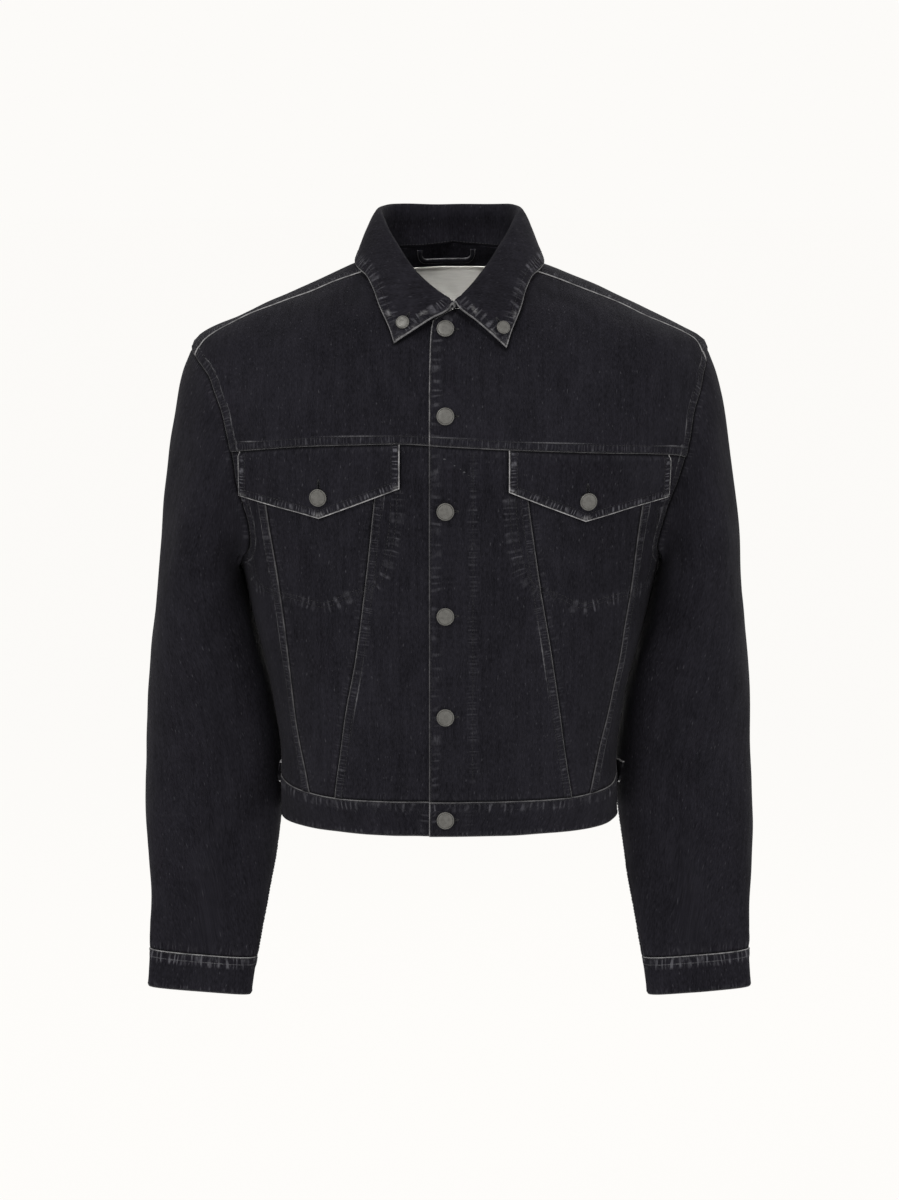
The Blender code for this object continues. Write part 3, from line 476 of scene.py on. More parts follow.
def waist_line(angle):
    from_front = np.degrees(np.abs((angle + np.pi) % (2 * np.pi) - np.pi))
    return np.stack([angle, MM * follow(WAIST_SEAM, from_front)[..., 0]], -1)


# %% Where lines cross, and a patch between four edges


def cross(first, at_first, second, at_second):
    """The two lines' own values where they cross, by Newton's method."""
    values, step = np.array([at_first, at_second], float), 1e-5
    for _ in range(12):
        miss = first(values[0]) - second(values[1])
        slope_first = (first(values[0] + step) - first(values[0] - step)) / (2 * step)
        slope_second = (second(values[1] + step) - second(values[1] - step)) / (2 * step)
        values -= np.linalg.solve(np.stack([slope_first, -slope_second], -1), miss)
    return values


def along(line, start, end, count):
    return line(np.linspace(start, end, count + 1))


def chain(*lines):
    return np.concatenate([lines[0]] + [line[1:] for line in lines[1:]])


def fill(bottom, top, left, right, fade=1):
    """A patch between four edges. A higher fade keeps the side edges' bends near those edges."""
    u = np.linspace(0, 1, len(bottom))[:, None, None]
    v = np.linspace(0, 1, len(left))[None, :, None]
    straight_up = (1 - v) * bottom[:, None] + v * top[:, None]
    left_bend = left[None] - (1 - v) * left[0] - v * left[-1]
    right_bend = right[None] - (1 - v) * right[0] - v * right[-1]
    return straight_up + (1 - u) ** fade * left_bend + u**fade * right_bend


def settle(points):
    """The places on the body that are nearest to points."""
    angle = np.arctan2(points[..., 0], -points[..., 1]) % (2 * np.pi)
    height, step = points[..., 2].copy(), 1e-4
    for _ in range(40):
        miss = points - torso(angle, height)
        across = (torso(angle + step, height) - torso(angle - step, height)) / (2 * step)
        up = (torso(angle, height + step) - torso(angle, height - step)) / (2 * step)
        aa, ab, bb = (np.sum(a * b, axis=-1) for a, b in ((across, across), (across, up), (up, up)))
        miss_across, miss_up = np.sum(miss * across, axis=-1), np.sum(miss * up, axis=-1)
        whole = aa * bb - ab * ab
        angle = angle + np.clip((miss_across * bb - miss_up * ab) / whole, -0.1, 0.1)
        height = height + np.clip((miss_up * aa - miss_across * ab) / whole, -8 * MM, 8 * MM)
    return np.stack([angle, height], -1)


# %% The sleeve's surface


def sleeve_ring(side, turn, height):
    outer, inner, middle_y, depth, power, tilt = np.moveaxis(follow(SLEEVE, height / MM), -1, 0)
    half = (outer - inner) / 2
    radius = (np.abs(np.cos(turn) / half) ** power + np.abs(np.sin(turn) / depth) ** power) ** (-1 / power)
    x = radius * np.cos(turn)
    z = height + MM * x * np.tan(np.radians(tilt))
    return np.stack([side * MM * (x + (outer + inner) / 2), MM * (middle_y - radius * np.sin(turn)), z], -1)


def sleeve(side):
    """By the turn round the arm and the way down it: 0 armhole, 1 below the arm, 2 cuff seam."""
    head_end = SLEEVE[0][0] * MM

    def at(turn, way):
        turn, way = np.broadcast_arrays(np.asarray(turn, float), np.asarray(way, float))
        start = on_body(armhole_line(side)(turn))
        end = sleeve_ring(side, turn, np.full_like(turn, head_end))
        chord = np.linalg.norm(end - start, axis=-1, keepdims=True)
        steepness, reach = np.moveaxis(follow(SLEEVE_HEAD, np.degrees(turn) % 360), -1, 0)
        steepness = np.radians(steepness)
        leave = np.stack([side * np.cos(steepness), np.zeros_like(steepness), -np.sin(steepness)], -1)
        below = sleeve_ring(side, turn, np.full_like(turn, head_end - 2 * MM))
        t = np.clip(way, 0, 1)[..., None]
        head = (
            (1 + 2 * t) * (1 - t) ** 2 * start
            + t * (1 - t) ** 2 * chord * reach[..., None] * leave
            + t * t * (3 - 2 * t) * end
            - t * t * (1 - t) * chord * unit(below - end)
        )
        height = head_end + (CUFF_SEAM - head_end) * np.maximum(way - 1, 0)
        return np.where(way[..., None] < 1, head, sleeve_ring(side, turn, height))

    return at


def armhole_turns(side):
    """The turns where the shoulder, front yoke, side seam, back yoke and the shoulder again meet the hole."""
    hole = armhole_line(side)
    shoulder = cross(hole, 0.5, shoulder_line(side), ARMHOLE_TOP - 8 * MM)[0]
    front = cross(hole, 1.7, front_yoke_line, side * 215 * MM)[0]
    behind = 2 * np.pi - np.arccos(1 - 2 * (BACK_YOKE_SEAM - ARMHOLE_TOP) / (ARMHOLE_FOOT - ARMHOLE_TOP))
    return shoulder, front, np.pi, behind, shoulder + 2 * np.pi


def armhole_mitre(side, turn):
    """The way into the cloth at the armhole, halfway between body and sleeve."""
    body = facing(torso, *np.moveaxis(armhole_line(side)(turn), -1, 0))
    arm = side * facing(sleeve(side), turn, np.full_like(turn, NUDGE))
    halfway = unit(body + arm)
    return halfway / np.maximum(np.sum(halfway * body, axis=-1, keepdims=True), 0.45)


RING_ANGLES = np.linspace(0, 2 * np.pi, 361)
RING_HEIGHTS = np.linspace(-570 * MM, 30 * MM, 121)
ring_grid = torso(RING_ANGLES[None, :], RING_HEIGHTS[:, None])
ring_steps = np.linalg.norm(np.diff(ring_grid, axis=1), axis=-1)
ring_runs = np.concatenate([np.zeros((len(RING_HEIGHTS), 1)), np.cumsum(ring_steps, axis=1)], 1)


def across_body(patch):
    """Metres round the body from the centre front, or behind the sides from the centre back."""
    angle, height = np.abs(patch[..., 0]), patch[..., 1]
    column = angle / RING_ANGLES[1]
    row = (height - RING_HEIGHTS[0]) / (RING_HEIGHTS[1] - RING_HEIGHTS[0])
    i = np.clip(row.astype(int), 0, len(RING_HEIGHTS) - 2)
    j = np.clip(column.astype(int), 0, len(RING_ANGLES) - 2)
    s, t = row - i, column - j
    low = (1 - t) * ring_runs[i, j] + t * ring_runs[i, j + 1]
    high = (1 - t) * ring_runs[i + 1, j] + t * ring_runs[i + 1, j + 1]
    half_round = (1 - s) * ring_runs[i, 180] + s * ring_runs[i + 1, 180]
    behind = angle.mean() > np.pi / 2
    return np.sign(patch[..., 0].mean()) * ((1 - s) * low + s * high - (half_round if behind else 0))


def under_lap(points):
    """How far the button side of the front lies in under the other."""
    return LAP * smoothstep(-58 * MM, -26 * MM, points[..., 0:1])


def body_points(patch, side=LEFT, lift=0.0):
    angle, height = patch[..., 0], patch[..., 1]
    normals = facing(torso, angle, height)
    points = torso(angle, height)
    if side == RIGHT:
        lift = lift - under_lap(points)
    return points + normals * lift, normals


print("body is", round(2 * float(ring_sizes(-0.12)[0]), 3), "m wide at the chest")

# %% [markdown]
# ## What makes it look sewn
#
# Cloth is never quite even. Three layers of relief go on every piece. The first is a slight unevenness in
# the whole garment. The second is a set of creases, each listed with its own length, width and
# height. The third lies along the seams: a felled seam is four layers thick, and it puckers because the
# thread draws it in. The first two depend only on the place on the body, so they run on across seams.

# %% Distance from a line


def nearest_on(points, line):
    """How far each point is from a line of points, and how far along the line the nearest place is."""
    flat = points.reshape(-1, 3)
    ways = np.diff(line, axis=0)
    lengths = np.maximum(np.linalg.norm(ways, axis=1), 1e-9)
    before = np.concatenate([[0], np.cumsum(lengths)])
    best, place = np.full(len(flat), np.inf), np.zeros(len(flat))
    for start, way, length, run in zip(line, ways, lengths, before):
        t = np.clip((flat - start) @ way / length**2, 0, 1)
        distance = np.linalg.norm(flat - start - t[:, None] * way, axis=1)
        nearer = distance < best
        best[nearer] = distance[nearer]
        place[nearer] = run + t[nearer] * length
    return best.reshape(points.shape[:-1]), place.reshape(points.shape[:-1])


# %% Unevenness
WAVE_SEED = 11
WAVE_COUNT = 30
SHORTEST_WAVE, LONGEST_WAVE = 34 * MM, 150 * MM
WAVE_STEEPNESS = 0.0024

wave_dice = np.random.default_rng(WAVE_SEED)
wave_lengths = np.geomspace(SHORTEST_WAVE, LONGEST_WAVE, WAVE_COUNT)
wave_ways = unit(wave_dice.normal(size=(WAVE_COUNT, 3)) * (1, 1, 0.6)) * (2 * np.pi / wave_lengths)[:, None]
wave_phases = wave_dice.uniform(0, 2 * np.pi, WAVE_COUNT)


def unevenness(points):
    """A gentle rise and fall of the cloth that depends on the place in space."""
    phases = points.reshape(-1, 3) @ wave_ways.T + wave_phases
    return (np.cos(phases) @ (wave_lengths * WAVE_STEEPNESS)).reshape(points.shape[:-1])


print("unevenness on the back:", np.round(unevenness(torso(np.linspace(2.6, 3.6, 4), -0.3)) / MM, 2), "mm")

# %% Creases on the fronts and the back
# x and height at the start, the bend and the end; then half width and height of the ridge, all in millimetres
FRONT_CREASES = (
    (-8, -178, 6, -186, 26, -201, 2.6, 0.8),
    (-214, -168, -210, -152, -203, -138, 4.0, 1.5),
    (-206, -152, -190, -128, -172, -112, 12, 1.3),
    (-150, -70, -138, -104, -96, -140, 17, 1.4),
    (-66, -92, -60, -120, -38, -148, 10, 0.7),
    (62, -90, 74, -118, 82, -152, 14, 1.0),
    (168, -74, 142, -110, 128, -156, 18, 1.5),
    (226, -130, 206, -138, 186, -158, 9, 1.2),
    (224, -204, 214, -232, 196, -262, 8, 1.7),
    (-222, -206, -206, -236, -188, -258, 8, 1.6),
    (34, -232, 50, -254, 72, -262, 7, 0.8),
    (28, -336, 44, -352, 76, -362, 9, 0.9),
    (-24, -226, -38, -250, -70, -262, 8, 0.8),
    (-22, -336, -50, -348, -78, -340, 9, 0.7),
    (-26, -436, -52, -456, -92, -452, 8, 0.8),
    (-118, -330, -126, -400, -128, -470, 14, 1.2),
    (104, -350, 128, -410, 126, -486, 15, 1.3),
    (30, -430, 52, -446, 98, -436, 10, 0.9),
    (-180, -300, -172, -380, -158, -450, 10, -1.2),
    (184, -296, 172, -372, 160, -446, 10, -1.3),
    (-40, -512, -42, -500, -46, -486, 5, 0.7),
    (-78, -512, -76, -502, -72, -494, 4, 0.6),
    (-112, -512, -112, -496, -108, -478, 6, 0.7),
    (52, -512, 50, -500, 52, -492, 4, 0.6),
    (86, -512, 84, -496, 78, -480, 6, 0.8),
    (128, -511, 132, -498, 134, -486, 5, 0.6),
)
BACK_CREASES = (
    (-196, -112, -186, -170, -168, -236, 13, 2.4),
    (-174, -96, -160, -138, -150, -160, 10, 1.1),
    (192, -106, 184, -160, 160, -228, 14, 2.6),
    (168, -88, 150, -126, 146, -158, 9, 1.0),
    (-92, -34, -60, -52, -16, -58, 12, 1.0),
    (96, -30, 70, -50, 30, -56, 11, 0.8),
    (-202, -262, -170, -290, -118, -300, 11, 1.5),
    (206, -256, 168, -280, 124, -306, 12, 1.6),
    (-176, -330, -150, -352, -96, -356, 12, 1.2),
    (178, -342, 146, -350, 104, -372, 11, 1.1),
    (-70, -430, -10, -452, 58, -436, 15, 1.3),
    (-128, -456, -96, -470, -52, -468, 9, 0.9),
    (62, -474, 94, -482, 136, -462, 9, 1.0),
    (-20, -200, -26, -280, -14, -350, 20, 1.2),
    (54, -186, 60, -240, 48, -300, 16, 0.9),
    (-60, -504, -58, -492, -60, -478, 5, 0.7),
    (-24, -504, -26, -494, -24, -486, 4, 0.5),
    (38, -504, 36, -490, 38, -472, 6, 0.7),
    (108, -504, 112, -494, 110, -484, 5, 0.6),
)
# the turn round the arm in degrees and the way down it, three times; then half width and height
SLEEVE_CREASES = {
    RIGHT: (
        (137, 1.03, 134, 1.3, 132, 1.66, 21, 6.5),
        (166, 1.1, 164, 1.4, 158, 1.7, 24, 4.5),
        (128, 0.35, 100, 0.7, 62, 0.95, 11, 1.9),
        (150, 0.55, 118, 0.95, 84, 1.14, 9, 1.6),
        (26, 0.2, 34, 0.6, 44, 1.0, 17, 1.5),
        (338, 0.25, 318, 0.7, 300, 1.0, 15, 1.6),
        (236, 0.4, 262, 0.8, 296, 1.02, 12, 1.8),
        (92, 1.2, 64, 1.34, 20, 1.4, 10, 1.2),
        (118, 1.26, 76, 1.44, 40, 1.48, 8, 1.1),
        (140, 1.4, 96, 1.5, 52, 1.66, 11, 1.4),
        (40, 1.5, 30, 1.7, 38, 1.9, 12, 1.3),
        (80, 1.62, 88, 1.78, 84, 1.93, 8, 1.2),
        (10, 1.55, 2, 1.74, 8, 1.92, 11, -1.4),
        (250, 1.16, 272, 1.3, 300, 1.36, 11, 1.7),
        (238, 1.3, 266, 1.42, 310, 1.46, 9, 1.3),
        (262, 1.52, 270, 1.7, 266, 1.88, 10, 1.2),
        (318, 1.5, 308, 1.72, 314, 1.94, 11, 1.2),
        (62, 1.99, 60, 1.96, 62, 1.93, 3.5, 0.8),
        (74, 1.99, 76, 1.97, 74, 1.945, 3, 0.7),
        (88, 1.99, 88, 1.96, 90, 1.925, 3.5, 0.9),
        (104, 1.99, 106, 1.97, 104, 1.94, 3, 0.7),
        (118, 1.99, 118, 1.95, 122, 1.91, 4, 0.9),
        (42, 1.99, 46, 1.95, 40, 1.9, 4, 0.8),
        (244, 1.99, 242, 1.96, 246, 1.92, 4, 0.9),
        (286, 1.99, 288, 1.96, 284, 1.93, 4, 0.8),
    ),
    LEFT: (
        (136, 1.03, 135, 1.32, 131, 1.64, 22, 6.0),
        (168, 1.2, 166, 1.28, 163, 1.37, 18, 2.0),
        (122, 0.4, 92, 0.74, 60, 1.02, 12, 1.7),
        (148, 0.62, 112, 1.0, 74, 1.18, 10, 1.8),
        (20, 0.22, 30, 0.64, 36, 1.02, 18, 1.6),
        (330, 0.3, 316, 0.7, 304, 1.05, 14, 1.5),
        (230, 0.45, 260, 0.84, 290, 1.06, 13, 1.9),
        (100, 1.18, 70, 1.28, 32, 1.3, 9, 1.1),
        (126, 1.3, 84, 1.4, 36, 1.5, 11, 1.4),
        (132, 1.46, 100, 1.6, 66, 1.64, 8, 1.0),
        (48, 1.52, 44, 1.72, 50, 1.92, 12, 1.4),
        (92, 1.68, 98, 1.8, 92, 1.94, 8, 1.0),
        (14, 1.6, 18, 1.76, 10, 1.94, 10, -1.3),
        (246, 1.2, 274, 1.28, 306, 1.38, 10, 1.6),
        (234, 1.34, 262, 1.46, 298, 1.5, 10, 1.4),
        (268, 1.56, 262, 1.72, 270, 1.9, 9, 1.1),
        (320, 1.54, 326, 1.76, 316, 1.92, 12, 1.2),
        (56, 1.99, 58, 1.96, 54, 1.92, 4, 0.9),
        (70, 1.99, 70, 1.97, 72, 1.95, 3, 0.6),
        (84, 1.99, 82, 1.96, 84, 1.93, 3.5, 0.8),
        (98, 1.99, 100, 1.96, 96, 1.92, 4, 0.9),
        (114, 1.99, 112, 1.97, 114, 1.945, 3, 0.7),
        (128, 1.99, 132, 1.95, 128, 1.91, 4, 0.8),
        (240, 1.99, 244, 1.95, 240, 1.91, 4, 0.9),
        (292, 1.99, 290, 1.97, 294, 1.94, 3.5, 0.7),
    ),
}


def crease_curves(table, place):
    """Each crease as a curve of points on the cloth, with its half width and height."""
    share = np.linspace(0, 1, 11)
    curves = []
    for first_a, second_a, first_b, second_b, first_c, second_c, half_width, height in table:
        first = (1 - share) ** 2 * first_a + 2 * share * (1 - share) * first_b + share**2 * first_c
        second = (1 - share) ** 2 * second_a + 2 * share * (1 - share) * second_b + share**2 * second_c
        curves.append((place(first, second), half_width * MM, height * MM))
    return curves


def on_front(x, height):
    return torso(angle_at_x(x * MM, height * MM), height * MM)


def on_back(x, height):
    return torso(angle_at_x(x * MM, height * MM, back=True), height * MM)


DIP_DEPTH, DIP_WIDTH = 0.32, 2.1


def creased(points, curves):
    """A soft ridge along each curve with a shallow dip on both sides, dying out at its ends."""
    total = np.zeros(points.shape[:-1])
    for curve, half_width, height in curves:
        distance, run = nearest_on(points, curve)
        length = np.sum(np.linalg.norm(np.diff(curve, axis=0), axis=1))
        share = np.clip(run / length, 0, 1)
        across = distance / half_width
        profile = np.exp(-(across**2)) - DIP_DEPTH * np.exp(-((across / DIP_WIDTH) ** 2))
        total += height * profile * (4 * share * (1 - share)) ** 0.6
    return total


body_curves = crease_curves(FRONT_CREASES, on_front) + crease_curves(BACK_CREASES, on_back)
arm_curves = {
    side: crease_curves(table, lambda turn, way, side=side: sleeve(side)(np.radians(turn), way))
    for side, table in SLEEVE_CREASES.items()
}
print("creases:", len(body_curves), "on the body,", sum(map(len, arm_curves.values())), "on the sleeves")

# %% Where the cloth has to lie still
whole_hole = np.linspace(0, 2 * np.pi, 73)
armholes = {side: on_body(armhole_line(side)(whole_hole)) for side in (LEFT, RIGHT)}
button_nodes = [name for name in frame["nodes"] if "_button_" in name]
button_places = {name: sum(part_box(name), Vector()) / 2 for name in button_nodes}
SLEEVE_MEETS_BODY = np.array((198, 12, -345)) * MM
STILL_BY_SLEEVE = (15 * MM, 55 * MM)
STILL_BY_ARMHOLE = (1 * MM, 24 * MM)
STILL_BY_BUTTON = (5 * MM, 20 * MM)
LEFT_AT_BUTTON = 0.15


def calm(points):
    """0 where pieces meet or nearly touch, as at the armholes and the buttons, and 1 away from there."""
    still = smoothstep(*STILL_BY_SLEEVE, np.linalg.norm(points - SLEEVE_MEETS_BODY, axis=-1))
    for hole in armholes.values():
        still *= smoothstep(*STILL_BY_ARMHOLE, nearest_on(points, hole[::2])[0])
    for place in button_places.values():
        distance = np.linalg.norm(points - np.array(place), axis=-1)
        still *= LEFT_AT_BUTTON + (1 - LEFT_AT_BUTTON) * smoothstep(*STILL_BY_BUTTON, distance)
    return still


def body_relief(points):
    return (unevenness(points) + creased(points, body_curves)) * calm(points)


def arm_relief(side, points, way):
    at_cuff = 1 - 0.55 * smoothstep(1.9, 2.0, way)
    return (unevenness(points) * at_cuff + creased(points, arm_curves[side])) * calm(points)


# %% [markdown]
# ## Bands along the edges
#
# Each edge of a piece has a style. A felled edge is folded over its neighbour and stitched twice, so it
# stands up and puckers between its two rows. A turned edge is a hem or a facing. An under edge goes beneath
# its neighbour. For the finish, every point of the cloth also learns how far it is from a worn edge, how
# much it has been rubbed, and how near it lies to an edge over it, where a painted shadow darkens it.

# %% Edge styles
# in millimetres, but for the shares of paleness and strength
# the relief: lift, band width, pucker height, where the puckers begin and end, and their pitch
# the wear: paleness of the edge, where its bars begin and end, their pitch and strength, and paleness of the
# band's inner line
STYLES = {
    "felled": (0.75, 9.0, 0.30, 1.5, 9.6, 9.5, 0.28, 0.8, 8.8, 3.5, 0.56, 0.78),
    "shoulder": (0.75, 9.0, 0.30, 1.5, 9.6, 9.5, 0.75, 0.8, 8.8, 3.2, 1.0, 0.9),
    "slanted": (0.75, 9.0, 0.30, 1.5, 9.6, 9.5, 0.19, 0.8, 8.8, 3.5, 0.62, 0.65),
    "armhole": (0.35, 9.0, 0.20, 1.5, 9.6, 9.5, 0.12, 0.8, 8.8, 4.0, 0.30, 0.3),
    "turned": (0.30, 8.6, 0.40, 2.4, 11.5, 11.0, 0.50, 2.6, 11.5, 9.0, 0.60, 0.0),
    "placket": (0.30, 8.6, 0.40, 2.4, 11.5, 11.0, 0.19, 2.6, 11.5, 10.0, 0.48, 0.0),
    "leaf": (0.30, 8.6, 0.60, 2.4, 13.0, 8.0, 0.50, 2.0, 12.0, 6.2, 1.25, 0.0),
    "band": (0.25, 8.0, 0.55, 1.8, 10.4, 12.0, 0.34, 1.4, 10.5, 7.5, 0.80, 0.3),
    "hem": (0.15, 5.0, 0.30, 2.0, 9.0, 12.0, 0.25, 0.8, 5.6, 6.0, 0.50, 0.0),
    "under": (-0.35, 3.0, 0.12, 1.0, 7.0, 12.0, 0.0, 1.5, 7.0, 5.0, 0.22, 0.0),
    "line": (-0.18, 1.0, 0.30, 0.6, 6.4, 10.0, 0.0, 0.5, 5.8, 8.0, 0.75, 0.0),
    "facing": (-0.18, 1.0, 0.18, 0.6, 4.4, 7.0, 0.0, 0.4, 4.0, 4.2, 0.44, 0.0),
    "flap": (0.10, 7.6, 0.34, 1.8, 8.6, 8.6, 1.0, 1.5, 6.6, 4.5, 1.9, 0.0),
    "cuff": (0.25, 8.0, 0.75, 1.6, 12.0, 9.5, 0.70, 0.8, 12.0, 6.0, 2.1, 0.35),
    "gathered": (-0.35, 3.0, 0.75, 0.6, 15.0, 7.4, 0.0, 0.6, 9.0, 5.5, 0.35, 0.0),
    "shadow": (0.0, 1.0, 0.0, 1.0, 2.0, 9.0, 0.0, 0.0, 0.0, 9.0, 0.0, 0.0),
    "crease": (0.0, 0.0, 0.0, 1.0, 2.0, 9.0, 0.0, 0.0, 0.0, 9.0, 0.0, 0.9),
}
# edge styles beside which other cloth lies over this piece, so a painted shadow darkens the cloth there
SHADED = ("under", "gathered", "shadow")
SHADE_REACH = 8
BAR_SHIFT = 37  # keeps the bars of a piece's seams apart in the noise
EDGES = ("left", "right", "bottom", "top")
ARM_KEYS = {LEFT: "left arm", RIGHT: "right arm"}
FAR = 0.05


def edge_points(grid, edge):
    return {"left": grid[0], "right": grid[-1], "bottom": grid[:, 0], "top": grid[:, -1]}[edge]


def pucker_wave(run, pitch, shift):
    """Uneven waves along a seam: the distance between them and their height keep changing."""
    turn = 2 * np.pi * run / pitch
    phase = turn + 1.4 * np.sin(turn / 5.3 + shift) + 0.9 * np.sin(turn / 2.3 + 2 * shift)
    return np.sin(phase) * (0.62 + 0.38 * np.sin(turn / 3.7 + 3 * shift))


def band_relief(distance, run, style, shift):
    """How an edge's style lifts the cloth."""
    lift, width, pucker, begin, end, pitch = STYLES[style][:6]
    away = distance / MM
    band = 1 - smoothstep(width - 0.6, width + 0.9, away)
    fold = 1 - 0.75 * (1 - smoothstep(0.0, 0.9, away)) * (lift > 0)
    zone = smoothstep(begin - 0.8, begin + 1.2, away) * (1 - smoothstep(end - 2.2, end + 1.4, away))
    wave = pucker_wave(run / MM, pitch, shift)
    raised = lift * band * fold - 0.5 * (lift > 0) * (1 - smoothstep(0.0, 0.9, away))
    return MM * (raised + pucker * zone * wave)


def wear_marks(grid, lines):
    """What the finish reads: the way to pale edges and ridges, the bars across seams, and the painted shade.
    """
    shape = grid.shape[:2]
    marks = {name: np.zeros(shape) for name in ("rim_pale", "shade", "bars", "bar_run", "bar_away", "rubbed")}
    marks |= {name: np.full(shape, FAR) for name in ("rim", "inner_line")}
    best, distances = np.full(shape, -1e3), {}
    for number, (key, (style, line)) in enumerate(lines.items()):
        distance, run = nearest_on(grid, line)
        distances[key] = (distance, run)
        _, width, _, _, _, _, pale, begin, end, pitch, strength, inner = STYLES[style]
        away = distance / MM
        if pale:
            nearer = distance < marks["rim"]
            marks["rim"][nearer], marks["rim_pale"][nearer] = distance[nearer], pale
        if inner:
            way = np.abs(distance - width * MM) + (1 - inner) * 0.5 * MM
            marks["inner_line"] = np.minimum(marks["inner_line"], way)
        # painted shadow: how near the cloth is to an edge that lies over it, out to SHADE_REACH millimetres
        if style in SHADED:
            marks["shade"] = np.maximum(marks["shade"], 1 - away / SHADE_REACH)
        zone = smoothstep(begin - 0.9, begin + 0.9, away) * (1 - smoothstep(end - 1.6, end + 1.0, away))
        score = strength * zone - 0.01 * away
        taken = score > best
        best[taken], marks["bars"][taken] = score[taken], (strength * zone)[taken]
        marks["bar_run"][taken] = (run / MM / pitch + BAR_SHIFT * number)[taken]
        marks["bar_away"][taken] = away[taken]
    return marks, distances


# %% [markdown]
# ## Cutting a piece
#
# A piece starts as a grid of points on the form. Its outer face gets the relief, its inner face lies one
# wall further in, and the cut edge closes the two. The grid also gives the map of the cloth in metres, with
# the warp running up the piece, so the weave follows the cloth wherever it turns.

# %% Build one shell of cloth
pieces = {}
flat_sizes = {}


def tuck(grid):
    """One more line of points close to each edge, so that the fold there stays narrow."""
    for axis in (0, 1):
        grid = np.moveaxis(grid, axis, 0)
        near, far = 0.75 * grid[0] + 0.25 * grid[1], 0.75 * grid[-1] + 0.25 * grid[-2]
        grid = np.concatenate([grid[:1], near[None], grid[1:-1], far[None], grid[-1:]])
        grid = np.moveaxis(grid, 0, axis)
    return grid


def cloth_map(grid):
    """Metres across and up the cloth at each point of a grid."""
    across = np.linalg.norm(np.diff(grid, axis=0, prepend=grid[:1]), axis=-1).cumsum(axis=0)
    up = np.linalg.norm(np.diff(grid, axis=1, prepend=grid[:, :1]), axis=-1).cumsum(axis=1)
    middle = len(grid) // 2
    return np.stack([across - across[middle], up], -1)


def shell_faces(columns, rows):
    """The faces of a closed shell: an outer skin, an inner skin and the cut edge between them."""
    outer = np.arange(columns * rows).reshape(columns, rows)
    inner = outer + columns * rows
    skin = np.stack([outer[:-1, :-1], outer[1:, :-1], outer[1:, 1:], outer[:-1, 1:]], -1).reshape(-1, 4)
    walls = []
    for run in (outer[:, 0][::-1], outer[:, -1], outer[0], outer[-1][::-1]):
        walls.append(np.stack([run[:-1], run[1:], run[1:] + columns * rows, run[:-1] + columns * rows], -1))
    return np.concatenate([skin, skin[:, ::-1] + inner[0, 0]] + walls)


def add_shell(name, outer, inner, normals, marks, material, across=None):
    """A closed shell as an object at the origin, with the map and the marks that its finish reads."""
    columns, rows = outer.shape[:2]
    faces = shell_faces(columns, rows)
    turn = np.cross(outer[1:, :-1] - outer[:-1, :-1], outer[:-1, 1:] - outer[:-1, :-1])
    if np.sum(turn * normals[:-1, :-1]) < 0:
        faces = faces[:, ::-1]
    mesh = bpy.data.meshes.new(name)
    mesh.from_pydata(np.concatenate([outer.reshape(-1, 3), inner.reshape(-1, 3)]), [], faces.tolist())
    weave = cloth_map(outer)
    if across is not None:
        weave[..., 0] = across
    uv = np.tile(weave.reshape(-1, 2), (2, 1))
    loops = np.zeros(len(mesh.loops), np.int32)
    mesh.loops.foreach_get("vertex_index", loops)
    mesh.uv_layers.new(name="cloth").data.foreach_set("uv", uv[loops].astype(np.float32).ravel())
    for mark, values in marks.items():
        both = np.tile(np.broadcast_to(values, outer.shape[:2]).ravel(), 2).astype(np.float32)
        mesh.attributes.new(mark, "FLOAT", "POINT").data.foreach_set("value", both)
    mesh.shade_smooth()
    mesh.set_sharp_from_angle(angle=math.radians(50))
    mesh.materials.append(material)
    return add_object(name, mesh)


def cut_size(grid):
    """Width, length and area of a piece as it lies flat, in metres."""
    width = np.linalg.norm(np.diff(grid, axis=0), axis=-1).sum(axis=0).max()
    length = np.linalg.norm(np.diff(grid, axis=1), axis=-1).sum(axis=1).max()
    sides = np.cross(grid[1:, 1:] - grid[:-1, :-1], grid[:-1, 1:] - grid[1:, :-1])
    return float(width), float(length), float(np.linalg.norm(sides, axis=-1).sum() / 2)


def hand_over(piece, solid):
    """The piece rides on the one body and stands in for a solid, which is hidden."""
    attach(piece, "root")
    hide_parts(solid)


def tell_size(name):
    print(name.replace("_", " "), "lies flat as", np.round(flat_sizes[name], 3), "m, m, m2")


def sew(name, grid, normals, seams, relief, inwards=None, wall=WALL, across=None, spots=()):
    """One finished piece of denim. seams gives each edge a style, or another line its style and points."""
    flat_sizes[name] = cut_size(grid)
    inwards = normals if inwards is None else inwards
    lines = {}
    for key, seam in seams.items():
        lines[key] = (seam, edge_points(grid, key)) if isinstance(seam, str) else seam
    if across is not None:
        across = tuck(across[..., None])[..., 0]
    grid, normals, inwards, relief = (tuck(part) for part in (grid, normals, inwards, relief[..., None]))
    marks, distances = wear_marks(grid, lines)
    relief = relief[..., 0]
    bands = sum(
        band_relief(*distances[key], style, 0.7 * number + len(name))
        for number, (key, (style, _)) in enumerate(lines.items())
    )
    for place, reach in spots:
        distance, _ = nearest_on(grid, np.array(place))
        marks["rubbed"] = np.maximum(marks["rubbed"], 1 - smoothstep(0.3 * reach, reach, distance))
    outer = grid + normals * (relief + bands)[..., None]
    inner = grid + normals * relief[..., None] - inwards * wall
    piece = add_shell(name + "_cloth", outer, inner, normals, marks, denim, across)
    distances = {key: distance for key, (distance, _) in distances.items()}
    pieces[name] = {"object": piece, "outer": outer, "normals": normals, "distances": distances}
    hand_over(piece, name)
